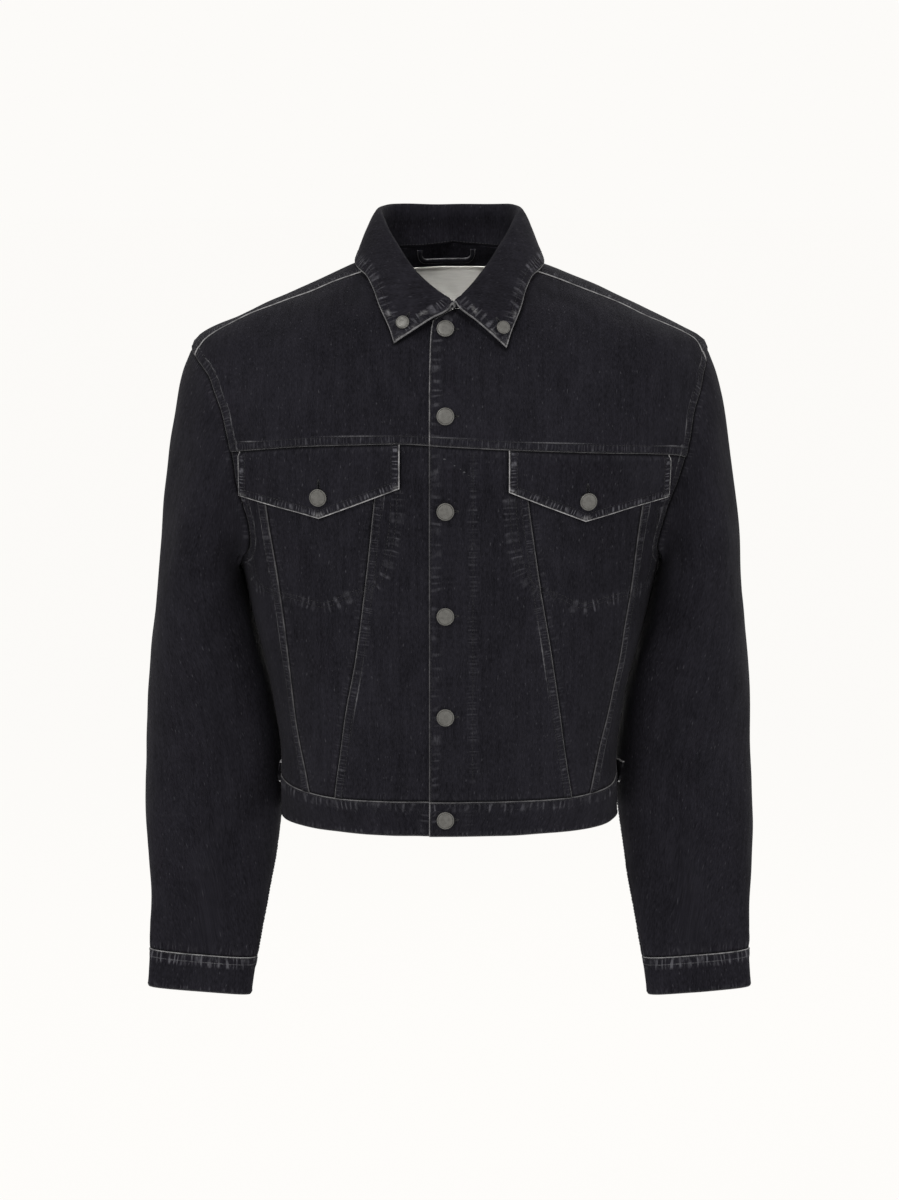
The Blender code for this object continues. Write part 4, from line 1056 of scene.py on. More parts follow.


# %% [markdown]
# ## Washed black denim
#
# Denim is a twill: dark warp threads run up the cloth and cover paler weft threads, which shows as fine
# slanting ribs. Washing rubs the warp along edges and over puckers until the pale core shows. So the colour
# starts nearly black, is streaked along the warp and mottled by the wash, and turns grey where the marks
# say that it is rubbed. Beside edges that lie over it, a painted shadow darkens it.

# %% Small helpers for materials


def node(tree, kind, **settings):
    """A node with its settings, where a setting named in_2 or a socket's name sets that input."""
    made = tree.nodes.new(kind)
    for key, value in settings.items():
        if key.startswith("in_"):
            made.inputs[int(key[3:])].default_value = value
        else:
            setattr(made, key, value)
    return made


def math_node(tree, operation, first, second=None, clamp=False):
    made = node(tree, "ShaderNodeMath", operation=operation, use_clamp=clamp)
    for socket, value in zip(made.inputs, (first, second)):
        if isinstance(value, bpy.types.NodeSocket):
            tree.links.new(value, socket)
        elif value is not None:
            socket.default_value = value
    return made.outputs[0]


def times(tree, first, second, clamp=False):
    return math_node(tree, "MULTIPLY", first, second, clamp)


def plus(tree, first, second, clamp=False):
    return math_node(tree, "ADD", first, second, clamp)


def stretched_noise(tree, vector, scale, detail, roughness=0.55):
    """Noise with its own scale across and up the cloth."""
    spread = node(tree, "ShaderNodeVectorMath", operation="MULTIPLY", in_1=scale)
    tree.links.new(vector, spread.inputs[0])
    noise = node(tree, "ShaderNodeTexNoise", noise_dimensions="3D")
    noise.inputs["Scale"].default_value = 1
    noise.inputs["Detail"].default_value = detail
    noise.inputs["Roughness"].default_value = roughness
    tree.links.new(spread.outputs[0], noise.inputs["Vector"])
    return noise.outputs["Fac"]


def spread_out(tree, value, low, high, to_low=0.0, to_high=1.0):
    made = node(tree, "ShaderNodeMapRange", in_1=low, in_2=high, in_3=to_low, in_4=to_high)
    tree.links.new(value, made.inputs[0])
    return made.outputs[0]


def mixed(tree, share, first, second):
    """Two colours, or a colour and a socket, mixed by a share."""
    made = node(tree, "ShaderNodeMix", data_type="RGBA", clamp_factor=True)
    tree.links.new(share, made.inputs["Factor"])
    for name, value in (("A", first), ("B", second)):
        socket = next(s for s in made.inputs if s.name == name and s.type == "RGBA")
        if isinstance(value, bpy.types.NodeSocket):
            tree.links.new(value, socket)
        else:
            socket.default_value = (*value, 1)
    return next(s for s in made.outputs if s.type == "RGBA")


# %% The denim itself
# near black for painted shade: the shadow beside edges that lie over the cloth, and the gap of a buttonhole
PAINTED_SHADE_DARK = (0.0012, 0.0011, 0.0016)
WARP_DARK = (0.0029, 0.0027, 0.0039)
WARP_FADED = (0.0182, 0.0173, 0.0232)
RUBBED = (0.080, 0.079, 0.090)
WORN_LINE = (0.125, 0.124, 0.133)
WORN_EDGE = (0.40, 0.395, 0.40)
TWILL_RIBS = 2 * math.pi / (0.95 * MM)


def attribute(tree, name):
    return node(tree, "ShaderNodeAttribute", attribute_name=name).outputs["Fac"]


def raise_surface(tree, shader, height, strength, depth):
    """A bump of the surface that follows a height."""
    bump = node(tree, "ShaderNodeBump")
    bump.inputs["Strength"].default_value = strength
    bump.inputs["Distance"].default_value = depth
    tree.links.new(height, bump.inputs["Height"])
    tree.links.new(bump.outputs[0], shader.inputs["Normal"])


def weighted_sum(tree, parts):
    """The sum of sockets, each times its weight."""
    total = None
    for value, weight in parts:
        part = times(tree, value, weight)
        total = part if total is None else plus(tree, total, part)
    return total


def denim_material():
    material, tree, shader = new_material("washed black denim")
    cloth = node(tree, "ShaderNodeUVMap", uv_map="cloth").outputs[0]
    place = node(tree, "ShaderNodeTexCoord").outputs["Object"]

    # the weave, and how the wash has faded it
    grain = stretched_noise(tree, cloth, (820, 210, 1), 2)
    slubs = stretched_noise(tree, cloth, (240, 20, 1), 3)
    wash = stretched_noise(tree, place, (17, 17, 11), 4, 0.6)
    clouds = stretched_noise(tree, place, (70, 70, 45), 3)
    flecks = stretched_noise(tree, cloth, (520, 150, 1), 1)
    apart = node(tree, "ShaderNodeSeparateXYZ")
    tree.links.new(cloth, apart.inputs[0])
    slant = plus(tree, apart.outputs[0], apart.outputs[1])
    ribs = math_node(tree, "SINE", times(tree, slant, TWILL_RIBS))
    parts = (
        (spread_out(tree, grain, 0.3, 0.72), 0.52),
        (spread_out(tree, slubs, 0.3, 0.7), 0.26),
        (spread_out(tree, wash, 0.35, 0.7), 0.24),
        (spread_out(tree, clouds, 0.3, 0.7), 0.16),
        (ribs, 0.08),
    )
    fade = weighted_sum(tree, parts)
    fade = plus(tree, fade, -0.04, clamp=True)
    colour = mixed(tree, fade, WARP_DARK, WARP_FADED)
    rare = times(tree, spread_out(tree, flecks, 0.68, 0.80), 0.42)
    colour = mixed(tree, rare, colour, RUBBED)

    # short bars across the seams, where the puckers have been rubbed
    run, away = attribute(tree, "bar_run"), attribute(tree, "bar_away")
    laid = node(tree, "ShaderNodeCombineXYZ")
    tree.links.new(run, laid.inputs[0])
    tree.links.new(times(tree, away, 0.085), laid.inputs[1])
    bar_noise = node(tree, "ShaderNodeTexNoise", noise_dimensions="3D")
    bar_noise.inputs["Scale"].default_value = 1
    bar_noise.inputs["Detail"].default_value = 2
    bar_noise.inputs["Distortion"].default_value = 0.35
    tree.links.new(laid.outputs[0], bar_noise.inputs["Vector"])
    blots = spread_out(tree, bar_noise.outputs["Fac"], 0.54, 0.72, 0.0, 0.45)
    wander = stretched_noise(tree, laid.outputs[0], (0.31, 0.15, 1), 1)
    phase = plus(tree, run, times(tree, wander, 4.0))
    ticks = math_node(tree, "SINE", times(tree, phase, 2 * math.pi))
    each = spread_out(tree, stretched_noise(tree, laid.outputs[0], (0.83, 0.7, 1), 1), 0.36, 0.62)
    ticks = times(tree, spread_out(tree, ticks, 0.3, 0.92), each)
    bar = math_node(tree, "MAXIMUM", ticks, blots)
    bar = times(tree, bar, attribute(tree, "bars"))
    bar = times(tree, bar, spread_out(tree, clouds, 0.3, 0.62, 0.25, 1.0))
    bar = times(tree, bar, spread_out(tree, grain, 0.32, 0.6, 0.45, 1.15), clamp=True)
    colour = mixed(tree, bar, colour, RUBBED)

    # painted shadow: the cloth beside an edge that lies over it is darkened, as if that edge shaded it
    painted_shadow = spread_out(tree, attribute(tree, "shade"), 0.66, 0.95, 0.0, 0.85)
    colour = mixed(tree, painted_shadow, colour, PAINTED_SHADE_DARK)

    # the ridge along a band's inner row of stitches, broken up by the stitches
    ragged = spread_out(tree, grain, 0.25, 0.75, -0.4 * MM, 0.4 * MM)
    ridge = plus(tree, attribute(tree, "inner_line"), ragged)
    ridge = spread_out(tree, ridge, 0.25 * MM, 0.95 * MM, 1.0, 0.0)
    ridge = times(tree, ridge, spread_out(tree, clouds, 0.3, 0.6, 0.35, 0.9))
    colour = mixed(tree, ridge, colour, WORN_LINE)

    # spots and folds that have rubbed, and the pale core along worn edges
    rub = times(tree, attribute(tree, "rubbed"), spread_out(tree, grain, 0.3, 0.6))
    colour = mixed(tree, times(tree, rub, 0.34, clamp=True), colour, WORN_EDGE)
    from_edge = plus(tree, attribute(tree, "rim"), ragged)
    pale = spread_out(tree, from_edge, 0.45 * MM, 1.2 * MM, 1.0, 0.0)
    patchy = spread_out(tree, stretched_noise(tree, place, (95, 95, 95), 2), 0.3, 0.6, 0.38, 1.0)
    pale = times(tree, pale, patchy)
    pale = times(tree, pale, attribute(tree, "rim_pale"), clamp=True)
    colour = mixed(tree, pale, colour, WORN_EDGE)
    tree.links.new(colour, shader.inputs["Base Color"])

    tree.links.new(spread_out(tree, fade, 0.2, 0.9, 0.97, 0.86), shader.inputs["Roughness"])
    shader.inputs["Specular IOR Level"].default_value = 0.07
    shader.inputs["Sheen Weight"].default_value = 0.012
    shader.inputs["Sheen Roughness"].default_value = 0.5

    parts = ((ribs, 0.35), (grain, 0.9), (slubs, 1.1), (clouds, 1.6), (bar, 1.7), (ridge, 0.8))
    height = weighted_sum(tree, parts)
    raise_surface(tree, shader, height, 0.6, 0.2 * MM)
    return material


denim = denim_material()
print("denim nodes:", len(denim.node_tree.nodes))

# %% [markdown]
# ## The fronts
#
# Each front has a plain yoke above and three panels below. The left front laps over the right and carries
# the buttonholes. The yoke is felled over the panels, the two slanted seams are felled away from the panel
# between them, and the front edge is a turned facing whose inner edge is stitched through.

# %% Counts of facets, and how finely each is cut
CENTRE_COLUMNS, PANEL_COLUMNS, SIDE_COLUMNS = 3, 4, 3
BACK_SIDE_COLUMNS, BACK_CENTRE_COLUMNS = 4, 8
NECK_FRONT_COLUMNS = CENTRE_COLUMNS + PANEL_COLUMNS + SIDE_COLUMNS - 1
ARMHOLE_ROWS = (5, 4, 5, 6)
SHOULDER_ROWS, SIDE_ROWS = 5, 7
SLEEVE_HEAD_ROWS, SLEEVE_ROWS = 5, 8
ACROSS, UP = 10, 11
FRONT_YOKE_UP = 7
BACK_ACROSS, BACK_YOKE_UP = 10, 7
ARM_ACROSS, ARM_UP = 9, 16


def armhole_stretch(side, number, fineness):
    turns = armhole_turns(side)
    return np.linspace(turns[number], turns[number + 1], ARMHOLE_ROWS[number] * fineness + 1)


def front_seams(side):
    slanted = (LEFT_INNER, LEFT_OUTER) if side == LEFT else (RIGHT_INNER, RIGHT_OUTER)
    slanted_lines = [line_down(SLANTED_SEAMS, column) for column in slanted]
    return [line_down(FRONT_EDGE, sign=-side)] + slanted_lines


def seam_ends(line):
    """Where a line down the front meets the yoke and the waistband."""
    top, low = -172 * MM, -514 * MM
    x = torso(*line(np.float64(top)))[0]
    top, yoke_x = cross(line, top, front_yoke_line, x)
    low, waist_angle = cross(line, low, waist_line, line(np.float64(low))[0])
    return top, yoke_x, low, waist_angle


def armhole_yoke_x(side):
    return cross(armhole_line(side), 1.7, front_yoke_line, side * 215 * MM)[1]


def sew_panel(name, patch, seams, side=LEFT, arms=(), arm_style="felled", spots=()):
    """A body panel. arms says where it meets a sleeve, as its side, column, first row and turns."""
    points, normals = body_points(patch, side)
    inwards = normals.copy()
    seams = dict(seams)
    for arm, column, row, turns in arms:
        rows = slice(row, row + len(turns))
        inwards[column, rows] = armhole_mitre(arm, turns)
        seams[ARM_KEYS[arm]] = (arm_style, points[column, rows])
    sew(name, points, normals, seams, body_relief(points), inwards, across=across_body(patch), spots=spots)


# %% Lines of stitching that cross the fronts
FACING_X = 22.7
FACING_TOP, FACING_FOOT = -173, -494.5
BAG_OUTLINE = (
    (-203.5, -222),
    (-201.6, -265),
    (-194.8, -311.6),
    (-178.6, -315.6),
    (-148, -320),
    (-121, -328.6),
    (-101, -316),
    (-77, -307),
    (-62, -297),
    (-51.5, -248),
    (-50, -214),
)
BAG_SHIFT = 7.5
LINE_STEP = 4.0


def smooth_line(points):
    """A line through points with its corners slightly rounded, as x and height in millimetres."""
    points = np.array(points, float)
    for _ in range(2):
        a, b = points[:-1], points[1:]
        cut = np.stack([0.75 * a + 0.25 * b, 0.25 * a + 0.75 * b], 1).reshape(-1, 2)
        points = np.concatenate([points[:1], cut, points[-1:]])
    run = np.concatenate([[0], np.cumsum(np.linalg.norm(np.diff(points, axis=0), axis=1))])
    at = np.linspace(0, run[-1], int(run[-1] / LINE_STEP) + 2)
    return np.stack([np.interp(at, run, points[:, 0]), np.interp(at, run, points[:, 1])], -1)


facing_stitches = np.array([(FACING_X, FACING_TOP), (FACING_X, FACING_FOOT)], float)
facing_stitches = np.linspace(facing_stitches[0], facing_stitches[1], 60)
bag_outlines = {
    RIGHT: smooth_line(BAG_OUTLINE),
    LEFT: smooth_line([(-x + BAG_SHIFT, z - 1) for x, z in BAG_OUTLINE]),
}
bag_seams = {side: {"bag": ("line", on_front(*bag_outlines[side].T))} for side in (RIGHT, LEFT)}
facing_seam = {"facing": ("facing", on_front(*facing_stitches.T))}
crease_seam = {"crease": ("crease", crease_curves(FRONT_CREASES[:1], on_front)[0][0])}


def flap_outline(side):
    """The lower edge of a flap, where it shades the front below it."""
    column = 1 if side == RIGHT else 3
    (x0, z0), (x1, z1), (x2, z2) = (row[column : column + 2] for row in FLAP_EDGE)
    return on_front(*np.array([(x0, z0 + 40), (x0, z0), (x1, z1), (x2, z2), (x2, z2 + 40)]).T)


def collar_outline(side):
    """The free edge of the collar's leaf over a front, from the fold round the point to the shoulder."""
    angle = np.radians(np.linspace(0, 75, 26))
    _, _, _, edge_angle, edge_height = follow(COLLAR, np.degrees(angle)).T
    reach = TIP_FORWARD[side] * (1 - smoothstep(0, 1.0, angle))
    edge = torso(side * np.radians(edge_angle), edge_height * MM - reach)
    return np.concatenate([on_front(np.array([FOLD_SHIFT / MM]), np.array([-38])), edge])


for side in (RIGHT, LEFT):
    # a painted shadow on the fronts below each flap's lower edge
    bag_seams[side]["flap"] = ("shadow", flap_outline(side))
print("pocket bag outline:", len(bag_outlines[RIGHT]), "points")

# %% Sew the front yokes


def sew_front_yoke(side, word):
    upper = armhole_stretch(side, 0, FRONT_YOKE_UP)
    neck, shoulder, edge = neck_line(side), shoulder_line(side), front_seams(side)[0]
    neck_end, shoulder_top = cross(neck, 1.1, shoulder, 2 * MM)
    corner, edge_top = cross(neck, math.radians(-9), edge, -47 * MM)
    ends = [seam_ends(line) for line in front_seams(side)]
    marks = [yoke_x for _, yoke_x, _, _ in ends] + [armhole_yoke_x(side)]
    counts = (CENTRE_COLUMNS, PANEL_COLUMNS, SIDE_COLUMNS)
    bottom = chain(*[along(front_yoke_line, a, b, n * ACROSS) for a, b, n in zip(marks, marks[1:], counts)])
    top = chain(along(neck, corner, 0, ACROSS), along(neck, 0, neck_end, NECK_FRONT_COLUMNS * ACROSS))
    hole = armhole_line(side)(upper[::-1])
    left = along(edge, ends[0][0], edge_top, (ARMHOLE_ROWS[0] + SHOULDER_ROWS) * FRONT_YOKE_UP)
    right = chain(hole, along(shoulder, hole[-1, 1], shoulder_top, SHOULDER_ROWS * FRONT_YOKE_UP))
    patch = fill(bottom, top, left, right)
    shoulder_points = on_body(right[len(hole) - 1 :])
    seams = {"bottom": "felled", "left": "turned", "shoulder": ("under", shoulder_points)}
    # a painted shadow on the yoke below the edge of the collar's leaf
    seams["collar"] = ("shadow", collar_outline(side))
    if side == LEFT:
        seams["notch"] = ("turned", on_body(top[: ACROSS + 1]))
    sew_panel("front_yoke_" + word, patch, seams, side, [(side, -1, 0, upper[::-1])])


for side, word in SIDES:
    sew_front_yoke(side, word)
tell_size("front_yoke_left")

# %% Sew the lower fronts


def sew_lower_front(name, inner, outer, side, columns, seams):
    top_in, yoke_in, low_in, waist_in = seam_ends(inner)
    top_out, yoke_out, low_out, waist_out = seam_ends(outer)
    rows = (SIDE_ROWS + ARMHOLE_ROWS[1]) * UP
    patch = fill(
        along(waist_line, waist_in, waist_out, columns * ACROSS),
        along(front_yoke_line, yoke_in, yoke_out, columns * ACROSS),
        along(inner, low_in, top_in, rows),
        along(outer, low_out, top_out, rows),
    )
    sew_panel(name, patch, seams, side)


def side_seam(side):
    waist = waist_line(np.float64(side * np.pi / 2))[1]
    height = np.linspace(waist, ARMHOLE_FOOT, SIDE_ROWS * UP + 1)
    return np.stack([np.full_like(height, side * np.pi / 2), height], -1)


def sew_front_side(side, word):
    seam = front_seams(side)[2]
    top, yoke_in, low, waist_in = seam_ends(seam)
    lower = armhole_stretch(side, 1, UP)[::-1]
    patch = fill(
        along(waist_line, waist_in, side * np.pi / 2, SIDE_COLUMNS * ACROSS),
        along(front_yoke_line, yoke_in, armhole_yoke_x(side), SIDE_COLUMNS * ACROSS),
        along(seam, low, top, (SIDE_ROWS + ARMHOLE_ROWS[1]) * UP),
        chain(side_seam(side), armhole_line(side)(lower)),
    )
    side_points = on_body(side_seam(side))
    seams = {"left": "slanted", "side": ("felled", side_points), "top": "under", "bottom": "under"}
    arms = [(side, -1, SIDE_ROWS * UP, lower)]
    sew_panel("front_side_" + word, patch, seams | bag_seams[side], arms=arms, arm_style="armhole")


for side, word in SIDES:
    edge, inner, outer = front_seams(side)
    seams = {"left": "placket", "right": "felled", "top": "under", "bottom": "under"} | bag_seams[side]
    seams |= facing_seam | crease_seam if side == LEFT else {}
    sew_lower_front("front_centre_" + word, edge, inner, side, CENTRE_COLUMNS, seams)
    seams = dict.fromkeys(EDGES, "under") | bag_seams[side]
    sew_lower_front("front_panel_" + word, inner, outer, LEFT, PANEL_COLUMNS, seams)
    sew_front_side(side, word)
tell_size("front_panel_left")

# %% [markdown]
# ## The back
#
# The back yoke is one piece that reaches over both shoulders, so the shoulder seams lie in front. It is
# felled over the fronts there and over the three lower panels below. Those are a shaped centre with a side
# panel on each side.

# %% Sew the back yoke


def back_corners():
    """Where the left slanted back seam meets the yoke and the waistband."""
    seam = back_slanted_line(LEFT)
    top, yoke_angle = cross(seam, BACK_YOKE_SEAM, back_yoke_line, 2.2)
    low, waist_angle = cross(seam, -508 * MM, waist_line, 2.4)
    return top, yoke_angle, low, waist_angle


WHOLE_TURN = np.array([2 * np.pi, 0])
yoke_edges, yoke_necks, yoke_arms, yoke_seams = [], [], [], {"bottom": "felled"}
for side, word, column in ((LEFT, "left", 0), (RIGHT, "right", -1)):
    upper = armhole_stretch(side, 3, BACK_YOKE_UP)
    neck_end, shoulder_top = cross(neck_line(side), 1.1, shoulder_line(side), 2 * MM)
    hole = armhole_line(side)(upper)
    shoulder = along(shoulder_line(side), hole[-1, 1], shoulder_top, SHOULDER_ROWS * BACK_YOKE_UP)
    yoke_edges.append(chain(hole, shoulder))
    yoke_necks.append(neck_end)
    yoke_arms.append((side, column, 0, upper))
    yoke_seams[word + " shoulder"] = ("shoulder", on_body(shoulder))

left_edge, right_edge = yoke_edges[0], yoke_edges[1] + WHOLE_TURN
half_count = (BACK_SIDE_COLUMNS + BACK_CENTRE_COLUMNS // 2) * BACK_ACROSS
neck_edge = chain(
    along(neck_line(LEFT), yoke_necks[0], np.pi, half_count),
    along(neck_line(RIGHT), np.pi, yoke_necks[1], half_count) + WHOLE_TURN,
)
yoke_corner = back_corners()[1]
seam_edge = chain(
    along(back_yoke_line, left_edge[0, 0], yoke_corner, BACK_SIDE_COLUMNS * BACK_ACROSS),
    along(back_yoke_line, yoke_corner, 2 * np.pi - yoke_corner, BACK_CENTRE_COLUMNS * BACK_ACROSS),
    along(back_yoke_line, 2 * np.pi - yoke_corner, right_edge[0, 0], BACK_SIDE_COLUMNS * BACK_ACROSS),
)
yoke_patch = fill(seam_edge, neck_edge, left_edge, right_edge)
in_space = [on_body(edge) for edge in (seam_edge, neck_edge, left_edge, right_edge)]
yoke_patch[1:-1, 1:-1] = settle(fill(*in_space, fade=3)[1:-1, 1:-1])
sew_panel("back_yoke", yoke_patch, yoke_seams, arms=yoke_arms)
tell_size("back_yoke")

# %% Sew the lower back
LOWER_ROWS = (SIDE_ROWS + ARMHOLE_ROWS[2]) * UP


def sew_back_centre():
    top, yoke_angle, low, waist_angle = back_corners()
    patch = fill(
        along(waist_line, waist_angle, 2 * np.pi - waist_angle, BACK_CENTRE_COLUMNS * BACK_ACROSS),
        along(back_yoke_line, yoke_angle, 2 * np.pi - yoke_angle, BACK_CENTRE_COLUMNS * BACK_ACROSS),
        along(back_slanted_line(LEFT), low, top, LOWER_ROWS),
        along(back_slanted_line(RIGHT), low, top, LOWER_ROWS) + WHOLE_TURN,
    )
    sew_panel("back_centre", patch, {"left": "felled", "right": "felled", "top": "under", "bottom": "under"})


def sew_back_side(side, word):
    top, yoke_angle, low, waist_angle = back_corners()
    lower = armhole_stretch(side, 2, UP)
    hole = armhole_line(side)(lower)
    patch = fill(
        along(waist_line, side * np.pi / 2, side * waist_angle, BACK_SIDE_COLUMNS * BACK_ACROSS),
        along(back_yoke_line, hole[-1, 0], side * yoke_angle, BACK_SIDE_COLUMNS * BACK_ACROSS),
        chain(side_seam(side), hole),
        along(back_slanted_line(side), low, top, LOWER_ROWS),
    )
    side_points = on_body(side_seam(side))
    seams = {"side": ("under", side_points), "right": "under", "top": "under", "bottom": "under"}
    arms = [(side, 0, SIDE_ROWS * UP, lower)]
    sew_panel("back_side_" + word, patch, seams, arms=arms, arm_style="armhole")


sew_back_centre()
for side, word in SIDES:
    sew_back_side(side, word)
tell_size("back_side_left")

# %% [markdown]
# ## Sleeves and cuffs
#
# Each sleeve is cut in two. The upper sleeve goes over the arm and is felled on the under sleeve along both
# seams. The cuff is a doubled band whose ends lap behind the wrist, and the sleeve is gathered into it a
# little.

# %% Sew the sleeves
ARM_WAYS = np.concatenate(
    [
        np.linspace(0, 1, SLEEVE_HEAD_ROWS * ARM_UP + 1),
        np.linspace(1, 2, SLEEVE_ROWS * ARM_UP + 1)[1:],
    ]
)


def sew_sleeve(side, name, turns, seams):
    turn, way = np.meshgrid(turns, ARM_WAYS, indexing="ij")
    surface = sleeve(side)
    points = surface(turn, way)
    normals = side * facing(surface, turn, np.clip(way, NUDGE, None))
    inwards = normals.copy()
    inwards[:, 0] = armhole_mitre(side, turns)
    sew(name, points, normals, seams, arm_relief(side, points, way), inwards)


for side, word in SIDES:
    stretches = [armhole_stretch(side, number, ARM_ACROSS) for number in range(4)]
    seams = dict.fromkeys(EDGES, "under")
    sew_sleeve(side, "under_sleeve_" + word, stretches[2], seams)
    over_the_arm = chain(stretches[3], stretches[0] + 2 * np.pi, stretches[1] + 2 * np.pi)
    seams = {"left": "felled", "right": "felled", "bottom": "under", "top": "gathered"}
    sew_sleeve(side, "upper_sleeve_" + word, over_the_arm, seams)
tell_size("upper_sleeve_left")

# %% Sew the cuffs
CUFF_COLUMNS, CUFF_UP = 150, 20


def sew_cuff(side, word):
    once_round = CUFF_START + 2 * np.pi
    turn = np.linspace(CUFF_START, once_round + CUFF_LAP, CUFF_COLUMNS + 1)[:, None]
    height = np.linspace(CUFF_END, CUFF_SEAM, CUFF_UP + 1)[None, :]
    turn, height = np.broadcast_arrays(turn, height)

    def surface(turn, height):
        return sleeve_ring(side, turn, height)

    points = surface(turn, height)
    normals = -side * facing(surface, turn, height)
    sunk = BAND_LAP * smoothstep(*(once_round - np.array(CUFF_SINKS)), turn)
    points = points - normals * sunk[..., None]
    seams = {"left": "turned", "right": "under", "bottom": "hem", "top": "cuff"}
    relief = 0.45 * unevenness(points) * calm(points)
    sew("cuff_" + word, points, normals, seams, relief, wall=DOUBLE)


for side, word in SIDES:
    sew_cuff(side, word)
tell_size("cuff_left")

# %% [markdown]
# ## Collar and waistband
#
# The collar is one doubled piece: a stand that rises from the neck seam, a fold, and a leaf that falls back
# and ends in two points. The waistband is a doubled strip that takes the lower edge of all the panels.

# %% Sew the collar
COLLAR_FINE = 6
ACROSS_STAND_AND_LEAF = (4, 4, 3, 3, 2, 5, 6, 5)
# x and height on the leaf, then half width and height of the ridge
COLLAR_CREASES = (
    (-78, 28, -64, 31, -51.5, 32, 2.6, 0.9),
    (-70, -27, -60, -27, -51.5, -24.5, 2.2, 0.7),
    (58, 35, 76, 30, 88, 15, 2.8, 1.0),
    (67, 18, 74, 13, 79, 4, 2.2, 0.8),
    (29, -20, 36, -23, 43, -29, 2.4, 0.8),
    (-40, -26, -52, -34, -58, -46, 4, 0.6),
    (-86, 4, -78, 0, -70, -6, 5, 0.6),
    (64, -14, 74, -22, 78, -34, 4, 0.7),
)

# the ends of each rubbed streak on the leaf, and its reach
COLLAR_WORN = (
    ((-28, -43), (-24, -41), 3.0),
    ((-36, -54), (-34, -56), 2.5),
    ((-49, -66), (-47, -64), 3.0),
    ((-58, -44), (-60, -41), 3.0),
    ((23, -37), (26, -41), 3.0),
    ((41, -59), (43, -61), 3.0),
    ((54, -71), (56, -68), 3.0),
    ((62, -46), (63, -42), 3.0),
)


def collar_section(side, angle):
    """Across the collar at one place, from the neck seam over the fold to the leaf's edge."""
    fold_x, fold_y, fold_z, edge_angle, edge_height = follow(COLLAR, np.degrees(angle))
    neck = body_points(neck_line(side)(np.float64(angle))[None], side)[0][0]
    shift = FOLD_SHIFT * (1 - smoothstep(0, math.radians(30), angle))
    fold = np.array([side * fold_x, fold_y, fold_z]) * MM + np.array([shift, 0, 0])
    reach = TIP_FORWARD[side] * (1 - smoothstep(0, 1.0, angle))
    edge_patch = np.array([[side * math.radians(edge_angle), edge_height * MM - reach]])
    edge = body_points(edge_patch, LEFT, COLLAR_LIFT)[0][0]
    outwards = edge - neck
    outwards[2] = 0
    outwards = unit(outwards + np.array([0, -30 * MM, 0]) * (1 - smoothstep(0, 0.6, angle)))
    up = np.array([0, 0, 1])
    centre = fold - up * FOLD_RADIUS
    stand = unit(centre - outwards * FOLD_RADIUS - neck)
    start = neck + stand * 2.5 * GAP + up * END_CLEAR * (1 - smoothstep(0, 0.3, angle))
    stand_top = centre - outwards * FOLD_RADIUS
    points = [start, start + (stand_top - start) * 0.5, stand_top]
    for turn in np.radians((60, 115)):
        points.append(centre + FOLD_RADIUS * (up * math.sin(turn) - outwards * math.cos(turn)))
    leaf_top = points[-1] + (outwards * 0.8 - up) * FOLD_RADIUS * 0.9
    points.append(leaf_top)
    for share, bulge in ((0.33, 1.6), (0.66, 1.4)):
        points.append(leaf_top + (edge - leaf_top) * share + outwards * bulge * MM)
    return points + [edge]


def smooth_through(points, counts):
    """A smooth curve through each row of points, with a number of steps for each stretch."""
    steps = np.linalg.norm(np.diff(points, axis=1), axis=-1, keepdims=True)
    slopes = np.diff(points, axis=1) / steps
    inner = (slopes[:, :-1] * steps[:, 1:] + slopes[:, 1:] * steps[:, :-1]) / (steps[:, 1:] + steps[:, :-1])
    slopes = np.concatenate([slopes[:, :1], inner, slopes[:, -1:]], 1)
    parts = [points[:, :1]]
    for k, count in enumerate(counts):
        t = np.linspace(0, 1, count + 1)[1:][None, :, None]
        a, b, step = points[:, k : k + 1], points[:, k + 1 : k + 2], steps[:, k : k + 1]
        start, end = slopes[:, k : k + 1] * step, slopes[:, k + 1 : k + 2] * step
        parts.append(
            (1 + 2 * t) * (1 - t) ** 2 * a
            + t * (1 - t) ** 2 * start
            + t * t * (3 - 2 * t) * b
            - t * t * (1 - t) * end
        )
    return np.concatenate(parts, 1)


def grid_normals(points):
    return unit(np.cross(np.gradient(points, axis=0), np.gradient(points, axis=1)))


sections = []
for side in (RIGHT, LEFT):
    shoulder = cross(neck_line(side), 1.1, shoulder_line(side), 2 * MM)[0]
    front = np.linspace(math.radians(COLLAR_END[side]), shoulder, NECK_FRONT_COLUMNS * COLLAR_FINE + 1)
    behind_count = (BACK_SIDE_COLUMNS + BACK_CENTRE_COLUMNS // 2) * COLLAR_FINE
    behind = np.linspace(shoulder, np.pi, behind_count + 1)
    half = [collar_section(side, angle) for angle in chain(front, behind)]
    sections += half if side == RIGHT else half[-2::-1]
collar_middle = smooth_through(np.array(sections), ACROSS_STAND_AND_LEAF)
collar_normals = grid_normals(collar_middle)
LEAF_FROM = sum(ACROSS_STAND_AND_LEAF[:5])


def faces_of(grid):
    """A grid of points as a tree of faces that rays can meet."""
    columns, rows = grid.shape[:2]
    index = np.arange(columns * rows).reshape(columns, rows)
    quads = np.stack([index[:-1, :-1], index[1:, :-1], index[1:, 1:], index[:-1, 1:]], -1).reshape(-1, 4)
    return BVHTree.FromPolygons(grid.reshape(-1, 3).tolist(), quads.tolist())


leaf_tree = faces_of(collar_middle[:, LEAF_FROM:])


def on_leaf(x, height):
    found = []
    for place_x, place_z in zip(x, height):
        hit = leaf_tree.ray_cast(Vector((place_x * MM, -0.4, place_z * MM)), Vector((0, 1, 0)))[0]
        if hit is not None:
            found.append(hit)
    return np.array(found)


